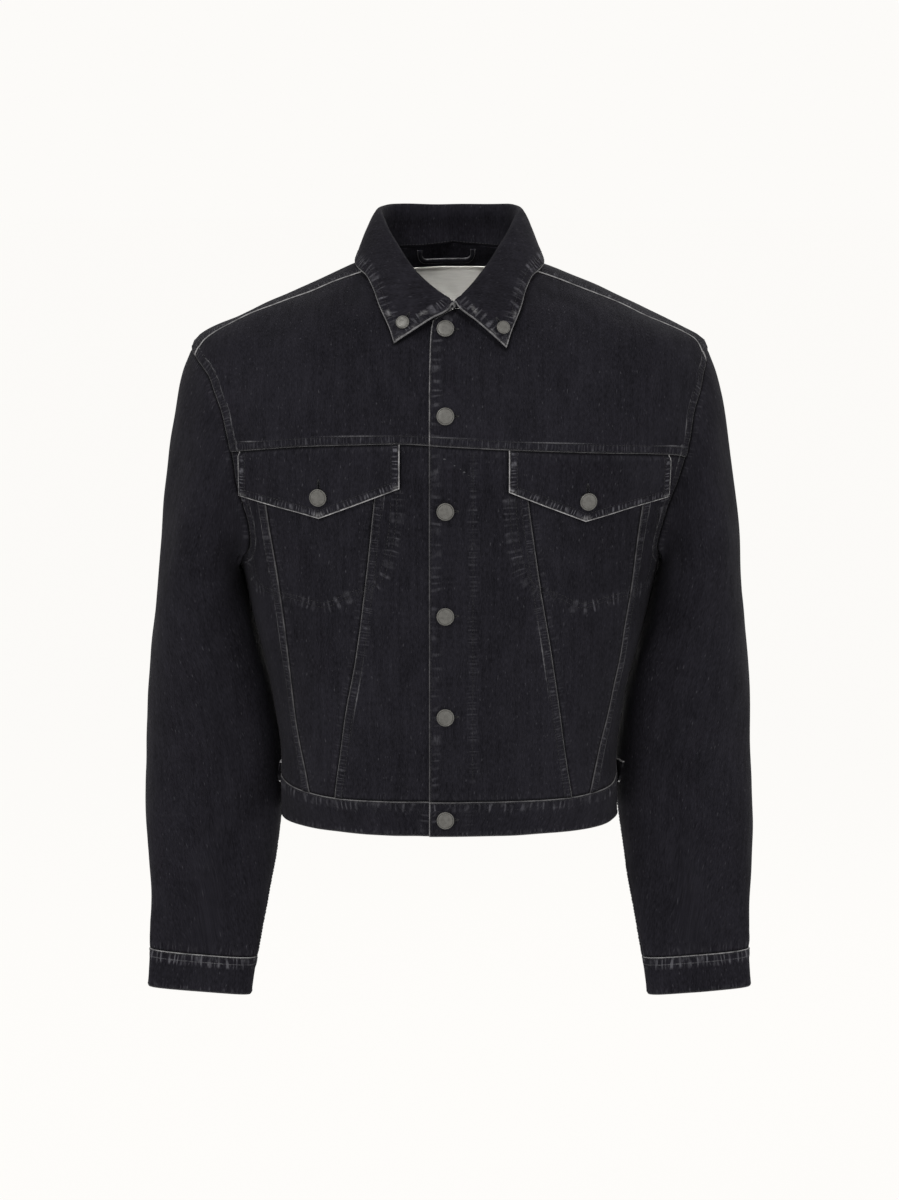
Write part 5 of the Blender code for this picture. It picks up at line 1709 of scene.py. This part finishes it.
leaf_curves = crease_curves(COLLAR_CREASES, on_leaf)
collar_relief = 0.5 * unevenness(collar_middle) + creased(collar_middle, leaf_curves)
leaf_share = np.linspace(0, 1, collar_middle.shape[1])
collar_relief = collar_relief * smoothstep(0.02, 0.25, leaf_share) * calm(collar_middle)
collar_seams = {"left": "leaf", "right": "leaf", "bottom": "under", "top": "leaf"}
collar_outer = collar_middle + collar_normals * DOUBLE / 2
collar_spots = [(on_leaf(*np.array(ends, float).T), reach * MM) for *ends, reach in COLLAR_WORN]
sew("collar", collar_outer, collar_normals, collar_seams, collar_relief, wall=DOUBLE, spots=collar_spots)
tell_size("collar")

# %% Sew the waistband
BAND_UP = 16
band_left = [ends[3] for ends in map(seam_ends, front_seams(LEFT))]
band_right = [2 * np.pi + ends[3] for ends in map(seam_ends, front_seams(RIGHT))]
band_behind = back_corners()[3]
band_marks = [*band_left, np.pi / 2, band_behind, 2 * np.pi - band_behind, 1.5 * np.pi, *band_right[::-1]]
front_counts = [CENTRE_COLUMNS, PANEL_COLUMNS, SIDE_COLUMNS]
band_counts = [*front_counts, BACK_SIDE_COLUMNS, BACK_CENTRE_COLUMNS, BACK_SIDE_COLUMNS, *front_counts[::-1]]
stretches = zip(band_marks, band_marks[1:], band_counts)
band_angle = chain(*[np.linspace(a, b, count * BACK_ACROSS + 1) for a, b, count in stretches])[:, None]
band_height = HEM + (waist_line(band_angle[:, 0])[:, 1:] - HEM) * np.linspace(0, 1, BAND_UP + 1)
band_angle, band_height = np.broadcast_arrays(band_angle, band_height)
band_points, band_normals = body_skin(band_angle, band_height)
sunk = BAND_LAP * smoothstep(*(2 * np.pi - np.array(BAND_SINKS)), band_angle)
band_points = band_points - band_normals * sunk[..., None]
band_seams = {"left": "turned", "right": "under", "bottom": "hem", "top": "band"}
sew("waistband", band_points, band_normals, band_seams, body_relief(band_points), wall=DOUBLE)
tell_size("waistband")

# %% [markdown]
# ## Flaps and tabs
#
# The pocket flaps are doubled, turned out and topstitched, and hang from the yoke seam. Each waist tab is
# sewn in at the side seam and buttons towards the back, to draw the waist in.

# %% Sew the pocket flaps
FLAP_CLEAR = 3.9 * MM
FLAP_WALL = 2.0 * MM
FLAP_TOP_CLEAR = 1.0 * MM
CORNER_WORN = 3.8 * MM
FLAP_COLUMNS, FLAP_UP = 76, 30


def sew_flap(side, word):
    column = 0 if side == RIGHT else 2
    shares = np.linspace(0, 1, FLAP_COLUMNS + 1)
    keys = [row[0] for row in FLAP_EDGE]
    x_low = MM * np.interp(shares, keys, [row[1 + column] for row in FLAP_EDGE])
    z_low = MM * np.interp(shares, keys, [row[2 + column] for row in FLAP_EDGE])
    x_high = x_low[0] + (x_low[-1] - x_low[0]) * shares
    z_high = front_yoke_line(x_high)[:, 1]
    share = np.linspace(0, 1, FLAP_UP + 1)
    height = z_low[:, None] + (z_high - z_low)[:, None] * share
    x = x_low[:, None] + (x_high - x_low)[:, None] * share
    patch = np.stack([angle_at_x(x, height), height], -1)
    # the top goes into the seam below the yoke, and the lower edge hangs clear of the panels
    lift = FLAP_TOP_CLEAR + (FLAP_CLEAR - FLAP_TOP_CLEAR) * smoothstep(0.0, 0.1, 1 - share)
    points, normals = body_points(patch, LEFT, lift[None, :, None])
    seams = {"left": "flap", "right": "flap", "bottom": "flap", "top": "under"}
    worn = [points[column : column + 3, 1] for column in (0, FLAP_COLUMNS // 2 - 1, FLAP_COLUMNS - 2)]
    spots = [(place, CORNER_WORN) for place in worn]
    sew("pocket_flap_" + word, points, normals, seams, body_relief(points), wall=FLAP_WALL, spots=spots)


for side, word in SIDES:
    sew_flap(side, word)
tell_size("pocket_flap_left")

# %% Sew the waist tabs
TAB_COLUMNS, TAB_UP = 44, 12


def tab_angle(facet):
    return np.pi / 2 + (back_corners()[3] - np.pi / 2) * facet / BACK_SIDE_COLUMNS


def sew_tab(side, word):
    table = np.array(WAIST_TAB)
    facet = np.linspace(table[0, 0], table[-1, 0], TAB_COLUMNS + 1)[:, None]
    middle, half, low, high = (np.interp(facet, table[:, 0], table[:, k]) for k in (1, 2, 3, 4))
    share = np.linspace(-1, 1, TAB_UP + 1)
    height = MM * (middle + half * share)
    lift = np.minimum(MM * (low + (high - low) * (share + 1) / 2), MOST_STAND_OFF[side])
    angle = np.broadcast_to(side * tab_angle(facet), height.shape)
    points, normals = body_skin(angle, height)
    points = points + normals * (lift[..., None] + DOUBLE)
    seams = {"left": "under", "right": "flap", "bottom": "flap", "top": "flap"}
    sew("waist_tab_" + word, points, normals, seams, 0.3 * body_relief(points), wall=DOUBLE)


for side, word in SIDES:
    sew_tab(side, word)
tell_size("waist_tab_left")

# %% [markdown]
# ## Inside the neck
#
# A hanger loop of folded denim and a plain woven label are sewn to the inside of the back yoke. Both are
# laid against the cloth by casting rays outwards through the neck until they meet it.

# %% A woven label and its material
LABEL_PALE = (0.80, 0.785, 0.74)
LABEL_SHADE = (0.64, 0.62, 0.575)


def label_material():
    material, tree, shader = new_material("woven label")
    cloth = node(tree, "ShaderNodeUVMap", uv_map="cloth").outputs[0]
    rim = attribute(tree, "rim")
    apart = node(tree, "ShaderNodeSeparateXYZ")
    tree.links.new(cloth, apart.inputs[0])
    threads = []
    for side_way, pitch in zip(apart.outputs[:2], (0.62, 0.5)):
        scaled = times(tree, side_way, 2 * math.pi / (pitch * MM))
        threads.append(math_node(tree, "SINE", scaled))
    weave = times(tree, threads[0], threads[1])
    uneven = stretched_noise(tree, cloth, (60, 420, 1), 3)
    soiled = stretched_noise(tree, cloth, (26, 30, 1), 3)
    shade = times(tree, spread_out(tree, uneven, 0.3, 0.7), 0.5)
    shade = plus(tree, shade, times(tree, soiled, 0.5))
    shade = plus(tree, shade, times(tree, weave, 0.12), clamp=True)
    colour = mixed(tree, shade, LABEL_PALE, LABEL_SHADE)
    hem = spread_out(tree, rim, 2.6 * MM, 3.4 * MM, 1.0, 0.0)
    colour = mixed(tree, times(tree, hem, 0.35), colour, LABEL_SHADE)
    tree.links.new(colour, shader.inputs["Base Color"])
    tree.links.new(spread_out(tree, uneven, 0.3, 0.7, 0.72, 0.86), shader.inputs["Roughness"])
    shader.inputs["Specular IOR Level"].default_value = 0.25
    raise_surface(tree, shader, weave, 0.6, 0.12 * MM)
    return material


def object_tree(names):
    """The faces of finished pieces as one tree that rays can meet."""
    verts, faces = [], []
    for name in names:
        mesh = pieces[name]["object"].data
        first = len(verts)
        verts += [v.co.copy() for v in mesh.vertices]
        faces += [[first + i for i in polygon.vertices] for polygon in mesh.polygons]
    return BVHTree.FromPolygons(verts, faces)


yoke_tree = object_tree(["back_yoke"])


def rest_inside(x, height, clear):
    """Points a little inside the back yoke at these places, and the way out of the body there."""
    x, height = np.broadcast_arrays(x, height)
    angle = angle_at_x(x, height, back=True)
    points, normals = body_skin(angle, height)
    start = points - normals * 15 * MM
    for place in np.ndindex(x.shape):
        hit = yoke_tree.ray_cast(Vector(start[place]), Vector(normals[place]))[0]
        points[place] = np.array(hit) - normals[place] * clear
    return points, normals


LABEL_WALL = 0.8 * MM
LABEL_X, LABEL_HEIGHT = (-44, 49), (-46, 1.6)
LABEL_COLUMNS, LABEL_UP = 62, 32
label_x = np.linspace(*LABEL_X, LABEL_COLUMNS + 1)[:, None] * MM
label_height = np.linspace(*LABEL_HEIGHT, LABEL_UP + 1)[None, :] * MM
label_points, label_normals = rest_inside(label_x, label_height, 1.2 * MM)
flat_sizes["neck_label"] = cut_size(label_points)
label_edges = [nearest_on(label_points, edge_points(label_points, edge)) for edge in EDGES]
label_rim = np.min([distance for distance, _ in label_edges], axis=0)
hem_step = 0.35 * MM * (1 - smoothstep(2.6 * MM, 3.3 * MM, label_rim))
slack = 0.25 * MM * np.sin(label_points[..., 0] / (9 * MM)) * smoothstep(1 * MM, 8 * MM, label_rim)
label_inner = label_points - label_normals * (LABEL_WALL + hem_step + 0.3 * MM + slack)[..., None]
label_marks = {"rim": label_rim}
label = add_shell("neck_label_cloth", label_points, label_inner, label_normals, label_marks, label_material())
hand_over(label, "neck_label")
tell_size("neck_label")

# %% The hanger loop
LOOP_WIDTH, LOOP_RADIUS = 4.6 * MM, 7.5 * MM
LOOP_PALE = 0.35
LOOP_LEFT, LOOP_RIGHT, LOOP_LOW, LOOP_HIGH = -31 * MM, 24 * MM, 7.2 * MM, 18.5 * MM

corner = np.radians(np.linspace(0, 90, 10))
straight = np.linspace(LOOP_HIGH, LOOP_LOW + LOOP_RADIUS, 5)[:-1]
loop_middle = [(LOOP_LEFT, z) for z in straight]
shorter, longer = LOOP_RADIUS * (1 - np.cos(corner)), LOOP_RADIUS * (1 - np.sin(corner))
loop_middle += list(zip(LOOP_LEFT + shorter, LOOP_LOW + longer))
for x in np.linspace(LOOP_LEFT + LOOP_RADIUS, LOOP_RIGHT - LOOP_RADIUS, 24)[1:-1]:
    loop_middle.append((x, LOOP_LOW))
loop_middle += list(zip(LOOP_RIGHT - longer, LOOP_LOW + shorter))
loop_middle += [(LOOP_RIGHT, z) for z in straight[::-1]]
loop_middle = np.array(loop_middle)
forward = unit(np.gradient(loop_middle, axis=0))
aside = np.stack([-forward[:, 1], forward[:, 0]], -1)
strip = loop_middle[:, None] + aside[:, None] * (np.linspace(-0.5, 0.5, 7) * LOOP_WIDTH)[None, :, None]
loop_points, loop_normals = rest_inside(strip[..., 0], strip[..., 1], 0.6 * MM)
flat_sizes["hanger_loop"] = cut_size(loop_points)
pillow = 1.2 * MM + 0.5 * MM * np.sin(np.linspace(0, np.pi, 7))[None, :]
loop_inner = loop_points - loop_normals * pillow[..., None]
loop_edge = LOOP_WIDTH * np.array([0, 1, 2, 3, 2, 1, 0]) / 6 + 0.5 * MM
unmarked = np.zeros(loop_points.shape[:2])
loop_marks = dict.fromkeys(("rubbed", "bars", "bar_run", "bar_away", "shade"), unmarked)
loop_marks |= {"rim_pale": unmarked + LOOP_PALE, "rim": unmarked + loop_edge, "inner_line": unmarked + FAR}
loop = add_shell("hanger_loop_cloth", loop_points, loop_inner, loop_normals, loop_marks, denim)
hand_over(loop, "hanger_loop")
tell_size("hanger_loop")

# %% [markdown]
# ## Topstitching
#
# A jeans seam is closed with two rows of thick thread, about three stitches to the centimetre. One stitch
# is a small spindle that is sunk into the cloth. Rows of it are found on the finished cloth at a set
# distance from a seam, and all the stitches of a group are joined into one mesh.

# %% The thread
THREAD = (0.0075, 0.0072, 0.0085)
THREAD_WORN = (0.022, 0.0215, 0.025)


def thread_material():
    material, tree, shader = new_material("topstitching thread")
    place = node(tree, "ShaderNodeTexCoord").outputs["Object"]
    worn = stretched_noise(tree, place, (210, 210, 210), 2)
    colour = mixed(tree, spread_out(tree, worn, 0.35, 0.75), THREAD, THREAD_WORN)
    tree.links.new(colour, shader.inputs["Base Color"])
    tree.links.new(spread_out(tree, worn, 0.3, 0.7, 0.5, 0.7), shader.inputs["Roughness"])
    shader.inputs["Specular IOR Level"].default_value = 0.3
    raise_surface(tree, shader, stretched_noise(tree, place, (1500, 1500, 1500), 1), 0.4, 0.1 * MM)
    return material


thread = thread_material()

# %% Rows of stitches on the cloth
STITCH_PITCH = 3.3 * MM
STITCH_LENGTH = 2.6 * MM
STITCH_RADIUS = 0.34 * MM
STITCH_PROUD = 0.06 * MM
SPINDLE_SIDES = 5


def row_on(name, key, edge, offset, span=(0, None)):
    """A line on a piece at a distance from one of its seams, looked for from one edge inwards."""
    piece = pieces[name]
    distance, outer, normals = piece["distances"][key], piece["outer"], piece["normals"]
    if edge in ("bottom", "top"):
        distance, outer, normals = distance.T, np.swapaxes(outer, 0, 1), np.swapaxes(normals, 0, 1)
    if edge in ("right", "top"):
        distance, outer, normals = distance[::-1], outer[::-1], normals[::-1]
    span = slice(*span)
    distance, outer, normals = distance[:, span], outer[:, span], normals[:, span]
    reached = distance >= offset
    row = np.argmax(reached, axis=0)
    columns = np.nonzero((row > 0) & reached.any(axis=0))[0]
    row = row[columns]
    before, after = distance[row - 1, columns], distance[row, columns]
    t = ((offset - before) / (after - before))[:, None]
    points = (1 - t) * outer[row - 1, columns] + t * outer[row, columns]
    return points, normals[row, columns]


def stitch_places(points, normals):
    """Evenly spaced places along a line, with the way of the line and the way out of the cloth."""
    run = np.concatenate([[0], np.cumsum(np.linalg.norm(np.diff(points, axis=0), axis=1))])
    count = max(int(run[-1] / STITCH_PITCH), 1)
    at = (np.arange(count) + 0.5) * run[-1] / count
    half = STITCH_LENGTH / 2

    def along_line(values, where):
        return np.stack([np.interp(where, run, values[:, k]) for k in range(3)], -1)

    ways = unit(along_line(points, at + half) - along_line(points, at - half))
    return along_line(points, at), ways, unit(along_line(normals, at))


def stitches(name, rows, length=STITCH_LENGTH, radius=STITCH_RADIUS):
    """Spindles at all the places of some rows, joined as one mesh."""
    places, ways, normals = (np.concatenate(part) for part in zip(*rows))
    aside = unit(np.cross(normals, ways))
    up = np.cross(ways, aside)
    places = places + up * STITCH_PROUD
    turn = np.arange(SPINDLE_SIDES) * 2 * np.pi / SPINDLE_SIDES
    template = [(-0.5, 0, 0)]
    for end in (-0.28, 0.28):
        template += [(end, math.cos(a), math.sin(a)) for a in turn]
    template = np.array(template + [(0.5, 0, 0)])
    verts = (
        places[:, None]
        + ways[:, None] * template[None, :, :1] * length
        + aside[:, None] * template[None, :, 1:2] * radius
        + up[:, None] * template[None, :, 2:] * radius
    )
    n = SPINDLE_SIDES
    around = [(k, (k + 1) % n) for k in range(n)]
    triangles = [(0, 1 + b, 1 + a) for a, b in around]
    triangles += [(2 * n + 1, 1 + n + a, 1 + n + b) for a, b in around]
    for a, b in around:
        triangles += [(1 + a, 1 + b, 1 + n + b), (1 + a, 1 + n + b, 1 + n + a)]
    count = len(template)
    faces = np.array(triangles)[None] + (np.arange(len(places)) * count)[:, None, None]
    mesh = bpy.data.meshes.new(name)
    mesh.from_pydata(verts.reshape(-1, 3), [], faces.reshape(-1, 3).tolist())
    mesh.shade_smooth()
    mesh.materials.append(thread)
    made = add_object(name, mesh)
    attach(made, "root")
    print(name, "has", len(places), "stitches")
    return made


def rows_at(name, key, edge, offsets, span=(0, None)):
    return [stitch_places(*row_on(name, key, edge, offset * MM, span)) for offset in offsets]


# %% Stitch the body
FELLED_ROWS = (1.9, 8.0)
TURNED_ROW = (2.0,)
LEAF_ROWS = (2.0, 7.5)
STAND_ROW = (2.2,)

body_rows = []
yoke_arm_rows = ARMHOLE_ROWS[0] * FRONT_YOKE_UP + 3
side_arm_from = SIDE_ROWS * UP + 1
for side, word in SIDES:
    arm = ARM_KEYS[side]
    for piece, key, edge, span in (
        ("front_yoke_", "bottom", "bottom", (0, None)),
        ("front_yoke_", arm, "right", (0, yoke_arm_rows)),
        ("front_centre_", "right", "right", (0, None)),
        ("front_side_", "left", "left", (0, None)),
        ("front_side_", "side", "right", (0, side_arm_from)),
        ("front_side_", arm, "right", (side_arm_from, None)),
        ("back_side_", arm, "left", (side_arm_from, None)),
    ):
        body_rows += rows_at(piece + word, key, edge, FELLED_ROWS, span)
for name in ("front_yoke_left", "front_centre_left"):
    body_rows += rows_at(name, "left", "left", TURNED_ROW)
body_rows += rows_at("back_yoke", "bottom", "bottom", FELLED_ROWS)
arm_rows = ARMHOLE_ROWS[3] * BACK_YOKE_UP + 2
for edge in ("left", "right"):
    body_rows += rows_at("back_yoke", edge + " arm", edge, FELLED_ROWS, (0, arm_rows))
    body_rows += rows_at("back_yoke", edge + " shoulder", edge, FELLED_ROWS, (arm_rows - 1, None))
    body_rows += rows_at("back_centre", edge, edge, FELLED_ROWS)
stitches("topstitching_body", body_rows)

# %% Stitch the sleeves, the bands, the collar and the flaps
sleeve_rows, band_rows = [], []
for word in ("right", "left"):
    for edge in ("left", "right"):
        sleeve_rows += rows_at("upper_sleeve_" + word, edge, edge, FELLED_ROWS)
    for edge in ("top", "bottom", "left"):
        band_rows += rows_at("cuff_" + word, edge, edge, TURNED_ROW)
    for edge in ("left", "bottom", "right"):
        band_rows += rows_at("pocket_flap_" + word, edge, edge, FELLED_ROWS)
    for edge in ("bottom", "right", "top"):
        band_rows += rows_at("waist_tab_" + word, edge, edge, TURNED_ROW)
for edge in ("top", "bottom", "left"):
    band_rows += rows_at("waistband", edge, edge, TURNED_ROW)
collar_rows = rows_at("collar", "top", "top", LEAF_ROWS)
for edge in ("left", "right"):
    collar_rows += rows_at("collar", edge, edge, LEAF_ROWS, (LEAF_FROM + 4, None))
collar_rows += rows_at("collar", "bottom", "bottom", STAND_ROW)
stitches("topstitching_sleeves", sleeve_rows)
stitches("topstitching_bands", band_rows)
stitches("topstitching_collar", collar_rows)

# %% Stitch the lines that cross the fronts
front_parts = [f"front_{part}_{word}" for part in ("centre", "panel", "side") for _, word in SIDES]
front_tree = object_tree(front_parts)


def drop_on(tree, x, height):
    """Points and normals where rays from in front meet the cloth."""
    points, normals = [], []
    for place_x, place_z in zip(x, height):
        hit, normal, _, _ = tree.ray_cast(Vector((place_x * MM, -0.4, place_z * MM)), Vector((0, 1, 0)))
        if hit is not None:
            points.append(hit)
            normals.append(normal)
    return np.array(points), np.array(normals)


SECOND_ROW = (0.915, 0.90)
front_rows = [stitch_places(*drop_on(front_tree, *facing_stitches.T))]
for side in (RIGHT, LEFT):
    front_rows.append(stitch_places(*drop_on(front_tree, *bag_outlines[side].T)))
    inside = bag_outlines[side].mean(axis=0)
    smaller = inside + (bag_outlines[side] - inside) * SECOND_ROW
    front_rows.append(stitch_places(*drop_on(front_tree, *smaller.T)))
stitches("topstitching_fronts", front_rows)

# %% [markdown]
# ## Buttons
#
# A jeans button is pressed metal: a flat face, slightly domed, with a rolled rim and a fine groove inside
# it, on a narrower foot. One is modelled for each of the two sizes, from a cylinder whose two ends are
# inset. It is then copied to each place, which comes from the turned solid that it stands for.

# %% The metal
PEWTER = (0.148, 0.145, 0.136)
PEWTER_DARK = (0.085, 0.082, 0.076)


def metal_material():
    material, tree, shader = new_material("satin pewter")
    place = node(tree, "ShaderNodeTexCoord").outputs["Object"]
    tarnish = stretched_noise(tree, place, (260, 260, 260), 3, 0.6)
    scuffs = stretched_noise(tree, place, (2400, 2400, 700), 2)
    shade = times(tree, spread_out(tree, tarnish, 0.42, 0.72), 0.6, clamp=True)
    colour = mixed(tree, shade, PEWTER, PEWTER_DARK)
    tree.links.new(colour, shader.inputs["Base Color"])
    rough = times(tree, spread_out(tree, scuffs, 0.3, 0.7), 0.14)
    rough = plus(tree, rough, spread_out(tree, tarnish, 0.3, 0.7, 0.34, 0.46))
    tree.links.new(rough, shader.inputs["Roughness"])
    shader.inputs["Metallic"].default_value = 0.85
    raise_surface(tree, shader, scuffs, 0.25, 0.05 * MM)
    return material


pewter = metal_material()

# %% Model one button of each size
BUTTON_RADIUS = 8.6 * MM
SMALL_BUTTON_RADIUS = 6.6 * MM
# share of the radius: how far in, how far out of the face
FRONT_STEPS = ((0.05, 0.055), (0.07, 0.015), (0.035, -0.06), (0.03, 0.045), (0.34, 0.02), (0.28, 0.01))
BACK_STEPS = ((0.06, 0.02), (0.32, 0.13))


def select_facing(mesh, way):
    """In edit mode, select the end cap that faces along the axis."""
    bpy.ops.mesh.select_all(action="DESELECT")
    bpy.ops.object.mode_set(mode="OBJECT")
    caps = [p for p in mesh.polygons if p.normal.z * way > 0.9 and len(p.vertices) > 8]
    caps[0].select = True
    bpy.ops.object.mode_set(mode="EDIT")


def model_button(radius):
    deselect()
    bpy.ops.mesh.primitive_cylinder_add(
        vertices=40, radius=radius, depth=0.15 * radius, location=(0, 0, 0.225 * radius)
    )
    button = bpy.context.object
    bpy.ops.object.transform_apply(location=True, rotation=True, scale=True)
    bpy.ops.object.mode_set(mode="EDIT")
    bpy.ops.mesh.select_mode(type="FACE")
    for way, steps in ((1, FRONT_STEPS), (-1, BACK_STEPS)):
        select_facing(button.data, way)
        for inset, out in steps:
            bpy.ops.mesh.inset(thickness=inset * radius, depth=out * radius)
    bpy.ops.object.mode_set(mode="OBJECT")
    bevel = button.modifiers.new("rounded rim", "BEVEL")
    bevel.width = 0.018 * radius
    bevel.segments = 2
    bevel.limit_method = "ANGLE"
    bevel.angle_limit = math.radians(24)
    bpy.ops.object.modifier_apply(modifier=bevel.name)
    bpy.ops.object.shade_smooth_by_angle(angle=math.radians(40))
    print("a button", round(2000 * radius, 1), "mm across has", len(button.data.polygons), "faces")
    return button


big_button, small_button = model_button(BUTTON_RADIUS), model_button(SMALL_BUTTON_RADIUS)

# %% Find how each button sits, and copy it there


def button_seat(name):
    """The middle of a button's foot and the way it faces, from its solid's flat parts."""
    mesh = frame["nodes"][name].data
    count = len(mesh.polygons)
    normals, areas, centres = np.zeros(3 * count), np.zeros(count), np.zeros(3 * count)
    mesh.polygons.foreach_get("normal", normals)
    mesh.polygons.foreach_get("area", areas)
    mesh.polygons.foreach_get("center", centres)
    normals, centres = normals.reshape(-1, 3), centres.reshape(-1, 3)
    middle = np.average(centres, axis=0, weights=areas)
    # the axis is the way that all of the rim's sideways normals lie across
    spread = (normals * areas[:, None]).T @ normals
    values, vectors = np.linalg.eigh(spread)
    axis = vectors[:, np.argmax(np.abs(values - np.median(values)))]
    along_axis = (centres - middle) @ axis
    reach = np.linalg.norm(centres - middle - along_axis[:, None] * axis, axis=1)
    wide = reach > 0.75 * reach.max()
    # the wide rim is on the outer half, and the foot below it is narrower
    if np.mean(along_axis[wide]) < (along_axis.min() + along_axis.max()) / 2:
        axis, along_axis = -axis, -along_axis
    verts = np.array([v.co for v in mesh.vertices])
    foot = ((verts - middle) @ axis).min()
    return middle + axis * foot, axis


BUTTON_RISE = 0.5 * MM
button_seats = {name: button_seat(name) for name in button_nodes}
for name, (foot, axis) in button_seats.items():
    small = name.startswith(("collar", "waist"))
    made = (small_button if small else big_button).copy()
    made.data = made.data.copy()
    made.name = name + "_metal"
    bpy.context.scene.collection.objects.link(made)
    turned = Vector(axis).to_track_quat("Z", "Y").to_matrix().to_4x4()
    made.data.transform(Matrix.Translation(Vector(foot + axis * BUTTON_RISE)) @ turned)
    made.data.materials.clear()
    made.data.materials.append(pewter)
    hand_over(made, name)
for pattern in (big_button, small_button):
    bpy.data.objects.remove(pattern)
print("buttons:", len(button_seats), "first one faces", np.round(button_seats["front_button_1"][1], 2))

# %% [markdown]
# ## Buttonholes
#
# A buttonhole is a slit whose edges are bound with close stitches. With the jacket buttoned up, one end of
# it shows beside each button. The holes on the front lie across it, and those of the flaps stand upright.

# %% Bind the buttonholes
HOLE_LENGTH = 17 * MM
HOLE_HALF = 1.15 * MM
HOLE_STITCHES = 30
SLIT_LENGTH = 15 * MM
SLIT_RADIUS = 0.55 * MM
BINDING_LENGTH = 2.0 * MM
BINDING_RADIUS = 0.42 * MM


def slit_material():
    """Painted shade of the gap inside a buttonhole, flecked paler by its frayed threads."""
    material, tree, shader = new_material("buttonhole slit")
    place = node(tree, "ShaderNodeTexCoord").outputs["Object"]
    frayed = spread_out(tree, stretched_noise(tree, place, (900, 900, 900), 2), 0.55, 0.8)
    tree.links.new(mixed(tree, frayed, PAINTED_SHADE_DARK, WARP_FADED), shader.inputs["Base Color"])
    shader.inputs["Roughness"].default_value = 0.95
    shader.inputs["Specular IOR Level"].default_value = 0.05
    return material


# which piece each front hole is cut in; the plans add the way that a hole runs from its button, as x and
# height, and how far its middle lies from the button
FRONT_HOLES = {
    2: "front_yoke_left",
    3: "front_centre_left",
    4: "front_centre_left",
    5: "front_centre_left",
    1: "front_yoke_left",
    6: "waistband",
}
FRONT_SHIFT, FLAP_SHIFT, COLLAR_SHIFT = 4.2 * MM, 8.5 * MM, 3.2 * MM
hole_plans = {f"front_button_{n}": (piece, (1, 0.03), FRONT_SHIFT) for n, piece in FRONT_HOLES.items()}
for side, word in SIDES:
    hole_plans["flap_button_" + word] = ("pocket_flap_" + word, (0, 1), FLAP_SHIFT)
for side, word in SIDES:
    hole_plans["collar_button_" + word] = ("collar", (-0.55 * side, 0.83), COLLAR_SHIFT)


def bind_hole(button, piece, run_way, shift):
    """Stitches across the edge of one buttonhole, all round it."""
    foot, _ = button_seats[button]
    tree = object_tree([piece])
    run_way = np.array(run_way) / np.linalg.norm(run_way)
    side_way = np.array([-run_way[1], run_way[0]])
    middle = np.array([foot[0], foot[2]]) + run_way * shift
    turn = np.linspace(0, 2 * np.pi, HOLE_STITCHES, endpoint=False)
    sideways = np.outer(np.sin(turn) * HOLE_HALF, side_way)
    oval = middle + np.outer(np.cos(turn) * HOLE_LENGTH / 2, run_way) + sideways
    across = np.outer(np.cos(turn) * HOLE_HALF, run_way) + sideways
    points, normals = drop_on(tree, oval[:, 0] / MM, oval[:, 1] / MM)
    ways = np.stack([across[:, 0], np.zeros(len(across)), across[:, 1]], -1)
    ways = unit(ways - normals * np.sum(ways * normals, axis=-1, keepdims=True))
    return points, ways, normals


def slit(button, piece, run_way, shift):
    """The dark gap along the middle of one buttonhole, as the place, way and normal of one spindle."""
    foot, _ = button_seats[button]
    run_way = np.array(run_way) / np.linalg.norm(run_way)
    ends = np.array([foot[0], foot[2]]) + np.outer([shift - 1 * MM, shift, shift + 1 * MM], run_way)
    points, normals = drop_on(object_tree([piece]), ends[:, 0] / MM, ends[:, 1] / MM)
    way = unit(points[2:] - points[:1])
    return points[1:2], unit(way - normals[1:2] * np.sum(way * normals[1:2])), normals[1:2]


hole_rows = [bind_hole(button, *plan) for button, plan in hole_plans.items()]
stitches("buttonholes", hole_rows, BINDING_LENGTH, BINDING_RADIUS)
# each slit is a spindle in painted shade, standing for the dark gap of its hole
slit_rows = [slit(button, *plan) for button, plan in hole_plans.items()]
slits = stitches("slits", slit_rows, SLIT_LENGTH, SLIT_RADIUS)
slits.data.materials[0] = slit_material()

# %% [markdown]
# ## Sizes and triangles
#
# The cloth pieces wider than a tape are listed with the size that each was cut to, measured over their grids
# before any relief. Then the triangles of the finished pieces are counted.

NARROWEST_SHEET = 10 * MM  # the hanger loop is narrower, and is a tape
sheet_sizes = {name: size for name, size in flat_sizes.items() if min(size[:2]) > NARROWEST_SHEET}
for name, (width, length, area) in sheet_sizes.items():
    piece = bpy.data.objects[name + "_cloth"]
print("sheets of cloth:", len(sheet_sizes))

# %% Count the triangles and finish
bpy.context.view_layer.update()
triangles = 0
for made in bpy.data.objects:
    if made.type == "MESH" and made.parent and not made.get("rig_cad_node"):
        triangles += sum(len(polygon.vertices) - 2 for polygon in made.data.polygons)
print("finished pieces have", triangles, "triangles")
